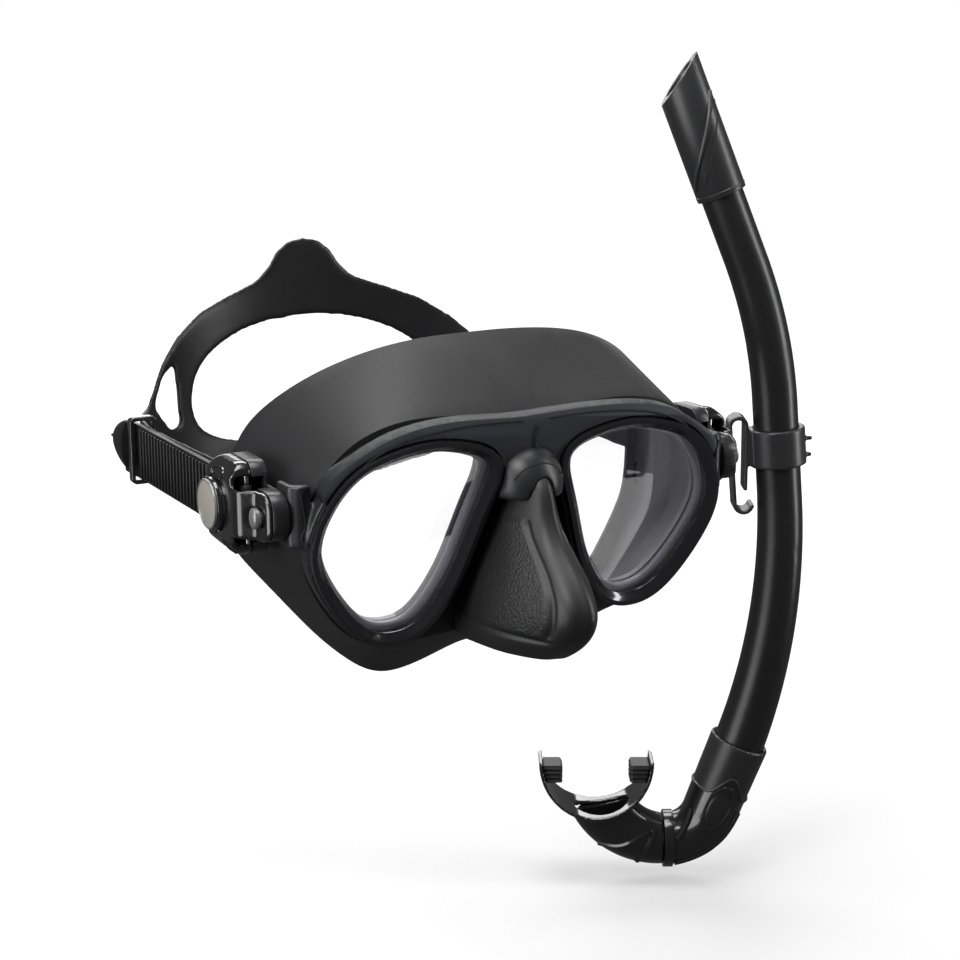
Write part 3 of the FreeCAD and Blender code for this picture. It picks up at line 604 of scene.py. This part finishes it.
def gathered(forms: Sequence[Form]) -> Form:
    """Puts several shapes into the first one.

    Args:
        forms: the shapes; all but the first are freed.

    Returns:
        The first shape, with the rest in it.
    """
    whole = forms[0]
    for other in forms[1:]:
        mesh = meshed(other, "other")
        whole.from_mesh(mesh)
        bpy.data.meshes.remove(mesh)
    return whole


def step(value: float, low: float, high: float) -> float:
    """Smooth rise from 0 at low to 1 at high."""
    share = min(max((value - low) / (high - low), 0.0), 1.0)
    return share * share * (3.0 - 2.0 * share)


def oval(middle: Pair, half: Pair, count: int,
         lean: float = 0.0) -> list[Pair]:
    """Points round a flat oval.

    Args:
        middle: its middle, in millimetres.
        half: its half sizes, in millimetres.
        count: how many points it has.
        lean: angle that it is turned by, in degrees.

    Returns:
        The points.
    """
    across, along = math.cos(math.radians(lean)), math.sin(math.radians(lean))
    points = []
    for i in range(count):
        angle = math.tau * i / count
        u, v = half[0] * math.cos(angle), half[1] * math.sin(angle)
        points.append((middle[0] + u * across + v * along, middle[1] - u * along + v * across))
    return points


def leaned(x: float, depth: float, up: float) -> Vector:
    """Point in the row frame, in millimetres, of a point in the lens plane's own frame."""
    place = Matrix.Rotation(math.radians(LENS_TILT), 3, "X") @ Vector((x, depth, up))
    return place + Vector((0.0, LENS_PLANE_Y, 0.0))


def beside(r: float, s: float, z: float) -> Vector:
    """Point in the row frame, in millimetres, of a point in the snorkel's own plane."""
    turned = Matrix.Rotation(math.radians(SNORKEL_YAW), 3, "Z") @ Vector((r, s, z))
    return turned + Vector(SNORKEL_PLACE)


class Skin:
    """Outer surface of some CAD nodes, on which lines are laid."""

    def __init__(self, *nodes: str) -> None:
        """Gathers the nodes' surfaces."""
        form = gathered([copied(node) for node in nodes])
        self._tree = BVHTree.FromBMesh(form)
        form.free()

    def _laid(self, starts: Sequence[Vector], way: Vector) -> list[Vector]:
        """Points where lines first meet the surface.

        Args:
            starts: where the lines start, in millimetres.
            way: their direction.

        Returns:
            The points in millimetres, without those of lines that meet nothing.
        """
        hits = [self._tree.ray_cast(start * MM, way)[0] for start in starts]
        return [place / MM for place in hits if place is not None]

    def front_of_snorkel(self, points: Sequence[Pair]) -> list[Vector]:
        """Lays (r, z) points of the snorkel's plane on the surface that faces the front."""
        away = beside(0.0, SNORKEL_RAY_START, 0.0) - beside(0.0, 0.0, 0.0)
        return self._laid([beside(r, 0.0, z) + away for r, z in points], -away.normalized())

    def front_of_mask(self, points: Sequence[Pair]) -> list[Vector]:
        """Lays (x, z) points on the surface that faces the front."""
        return self._laid([Vector((x, -RAY_START, z)) for x, z in points], Vector((0.0, 1.0, 0.0)))

    def outside(self, side: Side, points: Sequence[Pair]) -> list[Vector]:
        """Lays (y, z) points on the surface that faces outwards on one side."""
        starts = [Vector((side.value * RAY_START, y, z)) for y, z in points]
        return self._laid(starts, Vector((-side.value, 0.0, 0.0)))


# ---- mask body
@dataclass
class MaskBody:
    """Skirt, face seal and nose pocket, in soft silicone."""

    skirt_edge: float = 0.6
    lip_edge: float = 0.4
    skirt_middle: float = 4.0
    inside_reach: float = 4.0
    least_inward: float = 0.35
    least_rearward: float = 0.8
    nose_softness: Soft = (0.65, 4)
    ridge_share: float = 0.46
    groove_width: float = 0.034
    groove_depth: float = 0.8
    panel_low: float = -29.0
    panel_high: float = 9.0
    panel_fade: float = 2.5
    panel_slant: float = 4.0
    panel_end: float = 2.0
    low_groove: float = 0.9
    front_limit: float = -40.0
    nose_widths: Line = ((22.0, 6.2), (8.0, 10.0), (-6.0, 14.0), (-19.0, 17.6), (-29.0, 18.6),
                         (-37.2, 16.6))

    def build(self) -> None:
        """Makes the three soft pieces."""
        self._skirt()
        crisp_piece("seal_lip", self.lip_edge, "face_seal_lip", Finishes.SKIRT, "mask")
        self._nose()

    def _skirt(self) -> None:
        """Makes the flared skirt, which is light on its inner faces."""
        form = bevelled(copied("skirt"), self.skirt_edge, segments=3)
        form.normal_update()
        for face in form.faces:
            middle, normal = face.calc_center_median() / MM, face.normal
            inward = -(middle.x * normal.x + (middle.z - self.skirt_middle) * normal.z)
            inward /= max(math.hypot(middle.x, middle.z), 1.0)
            inner = inward > self.least_inward or normal.y > self.least_rearward
            face.material_index = 1 if inner and middle.y < self.inside_reach else 0
        piece = finished(form, "silicone_skirt", Finishes.SKIRT, "mask", ["skirt"], SOFT_TURN)
        piece.data.materials.append(Finishes.SKIRT_INSIDE.material())

    def _half_width(self, up: float) -> float:
        """Half width of the nose pocket at a height, in millimetres."""
        knots = self.nose_widths
        for (high, wide), (low, next_wide) in zip(knots, knots[1:]):
            if up >= low:
                return wide + (next_wide - wide) * min(max((high - up) / (high - low), 0.0), 1.0)
        return knots[-1][1]

    def _nose(self) -> None:
        """Makes the nose pocket: a smooth ridge between two stippled panels with grooves round them."""
        form = softened("nose_pocket", *self.nose_softness)
        form.normal_update()
        panel = form.verts.layers.float.new("panel")
        moves = []
        for vert in form.verts:
            place = vert.co / MM
            share = abs(place.x) / self._half_width(place.z)
            outside = step(-vert.normal.y, 0.05, 0.3) if place.y < self.front_limit else 0.0
            tall = step(place.z, self.panel_low, self.panel_low + self.panel_fade)
            top = self.panel_high - self.panel_slant * share
            tall *= 1.0 - step(place.z, top - self.panel_end, top)
            edge_share = self.ridge_share + 0.10 * step(place.z, -8.0, self.panel_high)
            vert[panel] = step(share, edge_share + 0.04, edge_share + 0.10) * tall * outside
            line = math.exp(-((share - edge_share) / self.groove_width) ** 2) * tall
            low_line = math.exp(-((place.z - self.panel_low) / self.low_groove) ** 2)
            low_line *= step(share, 0.3, 0.5)
            moves.append((vert, max(line, low_line) * outside * self.groove_depth * MM))
        for vert, depth in moves:
            vert.co -= vert.normal * depth
        finished(form, "nose_pocket_skin", Finishes.NOSE, "mask", ["nose_pocket"], smooth_angle=SOFT_TURN)


# ---- frame
@dataclass
class LensFrame:
    """Frame, brow trim, hood, bezels and gaskets."""

    brow_edge: float = 0.35
    bezel_edge: float = 0.3
    gasket_edge: float = 0.25
    moulding_softness: Soft = (0.6, 5)
    hood_softness: Soft = (0.6, 4)
    hood_line_radius: float = 0.3
    slot_radius: float = 0.5
    slot_depth: float = 0.15
    brow_line_radius: float = 0.36
    brow_line_depth: float = 0.2
    cheek_line_radius: float = 0.34
    slot_line: Line = ((0.6, 35.4), (0.3, 33.0), (0.1, 30.4), (0.6, 28.2), (2.2, 27.6), (3.6, 28.4))
    brow_line: Line = ((5.0, 37.6), (17.0, 38.2), (30.0, 37.6), (42.0, 36.2), (52.0, 33.0), (60.0, 28.0),
                       (66.0, 21.5))
    cheek_line: Line = ((76.4, 20.5), (75.6, 16.0), (74.8, 11.0), (75.2, 8.6), (76.3, 7.4), (76.1, 4.8),
                        (74.6, 4.7), (74.2, 1.0), (72.8, -6.5))
    hood_arc: Line = ((-8.6, 18.6), (-6.4, 21.4), (-3.2, 23.0), (0.0, 23.5), (3.2, 23.0), (6.4, 21.4),
                      (8.6, 18.6))
    plate_half: float = 60.0
    plate_facing: float = -0.9

    def build(self) -> None:
        """Makes the frame's pieces."""
        soft_piece("main_frame", self.moulding_softness, "frame_moulding", Finishes.FRAME, "mask")
        self._brow()
        soft_piece("bridge_hood", self.hood_softness, "nose_hood", Finishes.FRAME, "mask", HARD_TURN)
        # The near-black arc and slot beads paint the shade in the hood's groove and in the bridge's J
        # slot.
        arc = Skin("bridge_hood").front_of_mask(self.hood_arc)
        finished(bead(arc, self.hood_line_radius), "hood_arc_line", Finishes.SEAM, "mask")
        slot = [leaned(x, self.slot_depth, up) for x, up in self.slot_line]
        finished(bead(slot, self.slot_radius), "bridge_slot_line", Finishes.SEAM, "mask")
        for side in Side:
            self._side(side)

    def _brow(self) -> None:
        """Makes the brow trim, whose flat plates beside the bridge are paler than its ridge."""
        form = bevelled(copied("brow_bar"), self.brow_edge)
        form.normal_update()
        for face in form.faces:
            across = abs(face.calc_center_median().x) / MM
            plate = face.normal.y < self.plate_facing and across < self.plate_half
            face.material_index = 1 if plate else 0
        piece = finished(form, "brow_trim", Finishes.BROW, "mask", ["brow_bar"])
        piece.data.materials.append(Finishes.TRIM.material())

    def _side(self, side: Side) -> None:
        """Makes the rounded bezel and gasket on one side, and near-black beads along the brow and cheek
        parting lines that paint the shade in those grooves.

        Args:
            side: the wearer's left or right.
        """
        word = side.word
        crisp_piece(f"bezel_{word}", self.bezel_edge, f"bezel_ring_{word}", Finishes.BEZEL, "mask", 3)
        crisp_piece(f"lens_gasket_{word}", self.gasket_edge, f"gasket_ring_{word}", Finishes.GASKET,
                    "mask")
        # Near-black beads along the parting lines: painted shade in their grooves.
        brow = [leaned(x * side.value, self.brow_line_depth, up) for x, up in self.brow_line]
        finished(bead(brow, self.brow_line_radius), f"brow_parting_line_{word}", Finishes.SEAM, "mask")
        cheek = [(x * side.value, z) for x, z in self.cheek_line]
        laid = Skin("main_frame", "skirt").front_of_mask(cheek)
        finished(bead(laid, self.cheek_line_radius), f"cheek_parting_line_{word}", Finishes.SEAM, "mask")


# ---- strap harness
@dataclass
class StrapHarness:
    """Rear band, and on each side the ribbed strap end with its keeper ring."""

    rib_count: int = 23
    rib_start: float = -4.0
    rib_pitch: float = 2.95
    rib_width: float = 1.3
    rib_proud: float = 0.8
    rib_sunk: float = 0.3
    rib_inset: float = 0.9
    rib_rounding: float = 0.28
    strap_edge: float = 0.35
    wire_edge: float = 0.3
    band_softness: Soft = (0.85, 12)
    tip_start: float = 74.0
    tip_stretch: float = 1.5
    tip_taper: float = 0.3
    tip_length: float = 11.0
    tip_height: float = 13.4
    strap_low: float = 3.0
    strap_high: float = 22.0
    face_line: Line = ((-19.0, 87.65), (-6.0, 87.65), (44.0, 88.6), (66.0, 88.9))
    half_strap: float = 0.8

    def build(self) -> None:
        """Makes the band and both strap ends."""
        soft_piece("headband", self.band_softness, "split_headband", Finishes.STRAP, "harness")
        for side in Side:
            word = side.word
            self._strap_end(side)
            crisp_piece(f"keeper_ring_{word}", self.wire_edge, f"strap_ring_wire_{word}", Finishes.RING,
                        f"strap_ring_{word}")

    def _face(self, along: float) -> float:
        """How far out the strap's outer face is, at a place along it, in millimetres."""
        for (y0, u0), (y1, u1) in zip(self.face_line, self.face_line[1:]):
            if along <= y1:
                return u0 + (u1 - u0) * (along - y0) / (y1 - y0) + self.half_strap
        return self.face_line[-1][1] + self.half_strap

    def _pointed(self, form: Form) -> Form:
        """Draws the pull tip out to a bullet's point.

        Args:
            form: the strap's end, changed in place.

        Returns:
            The same bmesh.
        """
        for vert in form.verts:
            past = vert.co.y / MM - self.tip_start
            if past > 0.0:
                share = 1.0 - self.tip_taper * min(past / self.tip_length, 1.0)
                vert.co.y = (self.tip_start + past * self.tip_stretch) * MM
                vert.co.z = (self.tip_height + (vert.co.z / MM - self.tip_height) * share) * MM
        return form

    def _strap_end(self, side: Side) -> None:
        """Makes the strap's free end with its cross ribs, which catch on the pawl.

        Args:
            side: the wearer's left or right.
        """
        forms = [bevelled(self._pointed(copied(f"strap_end_{side.word}")), self.strap_edge)]
        low, high = self.strap_low + self.rib_inset, self.strap_high - self.rib_inset
        for i in range(self.rib_count):
            y = self.rib_start + i * self.rib_pitch
            face = self._face(y + self.rib_width / 2)
            ends = sorted((side.value * (face - self.rib_sunk), side.value * (face + self.rib_proud)))
            forms.append(bar((ends[0], y, low), (ends[1], y + self.rib_width, high), self.rib_rounding))
        finished(gathered(forms), f"ribbed_strap_{side.word}", Finishes.STRAP, "harness",
                 [f"strap_end_{side.word}"])


# ---- buckles
@dataclass
class Buckle:
    """One quick-adjust buckle: glossy cover, inner base, button and disc."""

    side: Side
    cover_softness: Soft = (0.42, 14)
    cover_turn: float = 80.0
    back_edge: float = 0.35
    cap_edge: float = 0.4
    plate_edge: float = 0.2
    disc_middle: Pair = (-14.5, 12.4)
    disc_radius: float = 7.9
    rim_out: float = 94.45
    rim_radius: float = 0.3
    lobe_middle: Pair = (-18.4, 22.9)
    lobe_half: Pair = (4.6, 1.7)
    lobe_radius: float = 0.4
    grip_places: tuple[float, ...] = (-26.0, -24.4, -22.8, -21.2)
    grip_heights: tuple[float, ...] = (-1.2, 0.6, 2.4)
    grip_radius: float = 0.45
    rivet_half: Triple = (1.0, 2.7, 3.3)
    rivet_place: Triple = (88.6, -38.5, 12.5)
    spring_keep: float = 0.88

    def build(self) -> None:
        """Makes the buckle's pieces."""
        word = self.side.word
        soft_piece(f"buckle_cover_{word}", self.cover_softness, f"buckle_shell_{word}", Finishes.BUCKLE,
                   "harness", self.cover_turn)
        crisp_piece(f"buckle_base_{word}", self.back_edge, f"buckle_back_{word}", Finishes.BUCKLE_INNER,
                    "harness")
        crisp_piece(f"release_button_{word}", self.cap_edge, f"button_cap_{word}", Finishes.BUTTON,
                    f"button_{word}", segments=3)
        crisp_piece(f"button_disc_{word}", self.plate_edge, f"button_plate_{word}", Finishes.DISC,
                    f"button_{word}")
        self._disc_rim()
        self._lobe_oval()
        self._rivet_cap()
        self._spring()
        self._grips()

    def _disc_rim(self) -> None:
        """Makes the pale raised rim round the disc."""
        rim = [(self.side.value * self.rim_out, y, z)
               for y, z in oval(self.disc_middle, (self.disc_radius, self.disc_radius), 12)]
        finished(bead(rim, self.rim_radius, closed=True), f"disc_rim_{self.side.word}", Finishes.RIVET,
                 f"button_{self.side.word}")

    def _spring(self) -> None:
        """Makes the coil spring on a mesh of its own; on the real buckle it shortens as the button is
        pressed.
        """
        node = f"button_spring_{self.side.word}"
        coil = finished(copied(node), f"coil_spring_{self.side.word}", Finishes.PIN, "harness", [node])
        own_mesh(coil)

    def _lobe_oval(self) -> None:
        """Makes the raised oval on the upper lobe."""
        skin = Skin(f"buckle_cover_{self.side.word}")
        laid = skin.outside(self.side, oval(self.lobe_middle, self.lobe_half, 12))
        finished(bead(laid, self.lobe_radius, closed=True), f"lobe_oval_{self.side.word}",
                 Finishes.BUCKLE, "harness")

    def _grips(self) -> None:
        """Makes the thumb-grip ribs on the lower lobe."""
        skin = Skin(f"buckle_cover_{self.side.word}")
        forms = [bead(skin.outside(self.side, [(y, z) for z in self.grip_heights]), self.grip_radius)
                 for y in self.grip_places]
        finished(gathered(forms), f"thumb_grips_{self.side.word}", Finishes.BUCKLE_INNER, "harness")

    def _rivet_cap(self) -> None:
        """Makes the oval cap of the pivot's rivet, in its dark recess."""
        form = bmesh.new()
        bmesh.ops.create_uvsphere(form, u_segments=28, v_segments=18, radius=1.0)
        bmesh.ops.scale(form, verts=form.verts, vec=Vector(self.rivet_half) * MM)
        place = Vector((self.side.value * self.rivet_place[0], *self.rivet_place[1:]))
        bmesh.ops.translate(form, verts=form.verts, vec=place * MM)
        rivet = frame["nodes"][f"pivot_rivet_{self.side.word}"]
        finished(form, f"rivet_cap_{self.side.word}", Finishes.RIVET, rivet["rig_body"])


# ---- snorkel
@dataclass
class Snorkel:
    """Top sleeve, connector, mouthpiece and keeper of the snorkel."""

    sleeve_start: Pair = (-48.5, 143.7)
    sleeve_lean: float = 22.0
    sleeve_radius: float = 10.3
    sleeve_edge: float = 0.35
    swirls: tuple[tuple[str, Finish, tuple[float, ...]], ...] = (
        ("rib", Finishes.SLEEVE, (17.0, 35.0, 28.0, 128.0, 0.1, 1.0)),
        # The line's near-black finish paints the shade along the fin's ridge.
        ("line", Finishes.SEAM, (21.0, 30.0, 14.0, 108.0, -0.05, 0.45)))
    swirl_steps: int = 8
    band_run: float = 56.0
    band_radius: float = 0.6
    foot: Pair = (-11.4, -146.9)
    run_lean: float = -20.0
    seam_run: float = 24.0
    seam_rise: float = 12.0
    seam_peak: float = 84.0
    seam_spread: float = 38.0
    seam_radius: float = 0.75
    badge_middle: Pair = (-21.5, -174.0)
    badge_half: Pair = (4.9, 10.4)
    badge_turn: float = 24.0
    badge_rim_radius: float = 0.85
    connector_radius: float = 12.55
    collar_edge: float = 0.6
    ridge_radius: float = 1.5
    ridges: tuple[tuple[str, Line], ...] = (
        ("inner", ((-33.5, -170.0), (-32.6, -176.0), (-34.4, -183.0), (-39.0, -189.0))),
        ("outer", ((-12.5, -178.0), (-16.0, -186.5), (-23.5, -194.0), (-33.0, -199.5), (-39.6, -201.2))))
    web_radius: float = 1.4
    webs: tuple[tuple[str, Line], ...] = (
        ("long", ((-73.0, -193.0), (-66.0, -194.5), (-58.0, -190.5), (-50.5, -185.6))),
        ("short", ((-56.0, -201.0), (-53.0, -195.5), (-50.0, -190.0), (-48.6, -186.0))))
    keeper_softness: Soft = (0.5, 3)
    elbow_softness: Soft = (0.7, 4)
    throat_softness: Soft = (0.75, 4)
    shield_softness: Soft = (0.55, 3)
    tab_softness: Soft = (0.45, 4)
    tooth_relief: float = 0.28
    tooth_pitch: float = 2.0

    def build(self) -> None:
        """Makes the snorkel's pieces."""
        self._sleeve()
        self._connector()
        self._mouthpiece()
        soft_piece("snorkel_keeper", self.keeper_softness, "strap_keeper", Finishes.KEEPER, "keeper_clip")

    def _round(self, start: Pair, lean: float, run: float, turn: float, radius: float) -> Vector:
        """Point on a round bar's skin.

        Args:
            start: the bar's start in the snorkel's plane, in millimetres.
            lean: the bar's lean from upright, in degrees.
            run: distance along the bar, in millimetres.
            turn: angle round it, in degrees: 0 is sideways and 90 faces the front.
            radius: the bar's radius, in millimetres.

        Returns:
            The point in the row frame.
        """
        lean, turn = math.radians(lean), math.radians(turn)
        r = start[0] + run * math.sin(lean) + radius * math.cos(turn) * math.cos(lean)
        z = start[1] - run * math.cos(lean) + radius * math.cos(turn) * math.sin(lean)
        return beside(r, -radius * math.sin(turn), z)

    def _sleeve(self) -> None:
        """Makes the slanted sleeve with its swirl rib, a near-black line that paints the shade along the
        fin's ridge, and the band at its lower edge.
        """
        crisp_piece("top_sleeve", self.sleeve_edge, "slanted_sleeve", Finishes.SLEEVE, "snorkel")
        last = self.swirl_steps
        for name, finish, (run, length, turn, sweep, proud, radius) in self.swirls:
            line = [self._round(self.sleeve_start, self.sleeve_lean, run + length * i / last,
                                turn + sweep * i / last, self.sleeve_radius + proud)
                    for i in range(last + 1)]
            finished(bead(line, radius), f"sleeve_swirl_{name}", finish, "snorkel")
        lower = [self._round(self.sleeve_start, self.sleeve_lean, self.band_run, 30.0 * i,
                             self.sleeve_radius) for i in range(12)]
        finished(bead(lower, self.band_radius, closed=True), "sleeve_lower_band", Finishes.SLEEVE,
                 "snorkel")

    def _seam_run(self, turn: float) -> float:
        """How far down the connector its seam is at an angle, in millimetres: it rises over the badge."""
        off = min(abs((turn - self.seam_peak + 180.0) % 360.0 - 180.0) / self.seam_spread, 1.0)
        return self.seam_run - self.seam_rise * (1.0 - off)

    def _connector(self) -> None:
        """Makes the connector: satin above its V-shaped seam, glossy below it."""
        form = softened("elbow", *self.elbow_softness)
        form.normal_update()
        lean = math.radians(self.run_lean)
        back = Matrix.Rotation(math.radians(-SNORKEL_YAW), 3, "Z")
        for face in form.faces:
            local = back @ (face.calc_center_median() / MM - Vector(SNORKEL_PLACE))
            r, z = local.x - self.foot[0], local.z - self.foot[1]
            run = r * math.sin(lean) - z * math.cos(lean)
            across = r * math.cos(lean) + z * math.sin(lean)
            turn = math.degrees(math.atan2(-local.y, across))
            face.material_index = 0 if run < self._seam_run(turn) else 1
        piece = finished(form, "elbow_connector", Finishes.SLEEVE, "snorkel", ["elbow"], SOFT_TURN)
        piece.data.materials.append(Finishes.ELBOW.material())
        seam = [self._round(self.foot, self.run_lean, self._seam_run(15.0 * i), 15.0 * i,
                            self.connector_radius) for i in range(24)]
        finished(bead(seam, self.seam_radius, closed=True), "connector_seam_band", Finishes.SLEEVE,
                 "snorkel")
        crisp_piece("swivel_ring", self.collar_edge, "swivel_collar", Finishes.ELBOW, "snorkel", 3)
        self._connector_lines()

    def _connector_lines(self) -> None:
        """Makes the badge's rim and the two ridges that run round the bend."""
        skin = Skin("elbow")
        rim = skin.front_of_snorkel(oval(self.badge_middle, self.badge_half, 16, self.badge_turn))
        finished(bead(rim, self.badge_rim_radius, closed=True), "badge_rim", Finishes.ELBOW, "snorkel")
        for name, line in self.ridges:
            finished(bead(skin.front_of_snorkel(line), self.ridge_radius), f"bend_ridge_{name}",
                     Finishes.ELBOW, "snorkel")

    def _mouthpiece(self) -> None:
        """Makes the throat, the lip shield and the two ribbed bite tabs."""
        body = "mouthpiece_turning"
        soft_piece("mouthpiece", self.throat_softness, "throat_skin", Finishes.MOUTH, body)
        soft_piece("lip_shield", self.shield_softness, "lip_shield_skin", Finishes.SHIELD, body)
        skin = Skin("mouthpiece")
        for name, line in self.webs:
            finished(bead(skin.front_of_snorkel(line), self.web_radius), f"throat_web_{name}",
                     Finishes.MOUTH, body)
        for side in Side:
            node = f"bite_tab_{side.word}"
            finished(self._bite_tab(node), f"bite_lug_{side.word}", Finishes.BITE, body, [node])

    def _bite_tab(self, node: str) -> Form:
        """Rounded bite tab with cross ribs on the side that the teeth hold.

        Args:
            node: the CAD node's name.

        Returns:
            The tab's shape.
        """
        form = softened(node, *self.tab_softness)
        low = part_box(node)[0] / MM
        for vert in form.verts:
            up = vert.co.z / MM
            wave = math.sin((up - low.z) * math.tau / self.tooth_pitch)
            vert.co += vert.normal * (self.tooth_relief * MM * wave)
        return form


# ---- stage
@dataclass
class Stage:
    """Pale floor, soft lamps and the camera."""

    floor_gap: float = 6.0
    floor_half: float = 9000.0
    lens_length: float = 68.2
    camera_place: Triple = (-282.6, -532.2, 153.7)
    camera_turn: Triple = (76.2, 0.0, -28.8)
    clip: Pair = (0.01, 50.0)
    floor_tone: float = 0.40
    glow_from: Pair = (0.3, 1.3)
    glow_to: Pair = (0.42, 1.0)
    world_level: float = 0.10
    lamps: tuple[tuple[str, Triple, Pair, float], ...] = (
        ("key_lamp", (-700, -420, 900), (600, 450), 9.0),
        ("fill_lamp", (950, -500, 200), (180, 1100), 7.0),
        ("rim_lamp", (300, 900, 800), (1100, 400), 8.0),
        ("low_lamp", (-950, -100, 60), (650, 800), 7.0),
        ("back_panel", (420, 950, 170), (900, 300), 2.2),
        ("top_lamp", (0, 0, 1300), (700, 700), 12.0))

    def build(self) -> None:
        """Makes the floor, the camera, the lamps and the surroundings."""
        self._floor()
        self._camera()
        self._lamps()
        self._surroundings()
        bpy.context.scene.view_settings.view_transform = "Standard"

    def _floor(self) -> None:
        """Lays one wide pale floor just below the object's lowest point."""
        form = bmesh.new()
        bmesh.ops.create_grid(form, x_segments=1, y_segments=1, size=self.floor_half * MM)
        bmesh.ops.translate(form, verts=form.verts, vec=(0, 0, CAD_BOX[0].z - self.floor_gap * MM))
        mesh = meshed(form, "floor")
        floor = linked("floor", mesh)
        paint = bpy.data.materials.new("pale_floor")
        paint.use_nodes = True
        tree, links = paint.node_tree, paint.node_tree.links
        shader = tree.nodes["Principled BSDF"]
        set_inputs(shader, {"Base Color": (self.floor_tone, self.floor_tone, self.floor_tone, 1.0),
                            "Roughness": 0.9, "Specular IOR Level": 0.0, "Emission Strength": 1.0})
        place = add_node(tree, "TexCoord")
        far = add_node(tree, "VectorMath", "LENGTH")
        glow = add_node(tree, "MapRange", values={
            "From Min": self.glow_from[0], "From Max": self.glow_from[1],
            "To Min": self.glow_to[0], "To Max": self.glow_to[1]})
        links.new(place.outputs["Object"], far.inputs[0])
        links.new(far.outputs["Value"], glow.inputs["Value"])
        links.new(glow.outputs["Result"], shader.inputs["Emission Color"])
        mesh.materials.append(paint)
        floor.visible_glossy = False
        floor.visible_diffuse = False

    def _camera(self) -> None:
        """Sets the camera to the set's three-quarter view."""
        data = bpy.data.cameras.new("camera")
        data.lens = self.lens_length
        data.clip_start, data.clip_end = self.clip
        camera = linked("camera", data)
        camera.location = Vector(self.camera_place) * MM
        camera.rotation_euler = [math.radians(angle) for angle in self.camera_turn]
        bpy.context.scene.camera = camera

    def _lamps(self) -> None:
        """Hangs the large soft lamps round the object."""
        for name, place, size, power in self.lamps:
            data = bpy.data.lights.new(name, "AREA")
            data.shape = "RECTANGLE"
            data.size, data.size_y = size[0] * MM, size[1] * MM
            data.energy = power
            lamp = linked(name, data)
            lamp.location = Vector(place) * MM
            lamp.rotation_euler = (-lamp.location).to_track_quat("-Z", "Y").to_euler()
            lamp.visible_camera = False
            lamp.visible_transmission = False

    def _surroundings(self) -> None:
        """Makes the world: white where it is looked at, and dimmer as a source of light."""
        world = bpy.data.worlds.new("surroundings")
        world.use_nodes = True
        tree, links = world.node_tree, world.node_tree.links
        backdrop = tree.nodes["Background"]
        path = add_node(tree, "LightPath")
        level = add_node(tree, "MapRange", values={"To Min": self.world_level, "To Max": 1.0})
        set_inputs(backdrop, {"Color": (1.0, 1.0, 1.0, 1.0)})
        links.new(path.outputs["Is Camera Ray"], level.inputs["Value"])
        links.new(level.outputs["Result"], backdrop.inputs["Strength"])
        bpy.context.scene.world = world


def dress_frame_nodes() -> None:
    """Gives every CAD node its own finish, by the record's material slots."""
    for entry in frame["record"]["subparts"]:
        node = frame["nodes"][entry["node"]]
        node.data.materials.clear()
        node.data.materials.append(Finishes.PLAIN[entry["material_slot"]].material())


def main() -> None:
    """Builds the looks in order."""
    logging.basicConfig(level=logging.INFO, format="%(message)s")
    dress_frame_nodes()
    Stage().build()
    MaskBody().build()
    LensFrame().build()
    StrapHarness().build()
    for side in Side:
        Buckle(side).build()
    Snorkel().build()


if __name__ == "__main__":
    main()
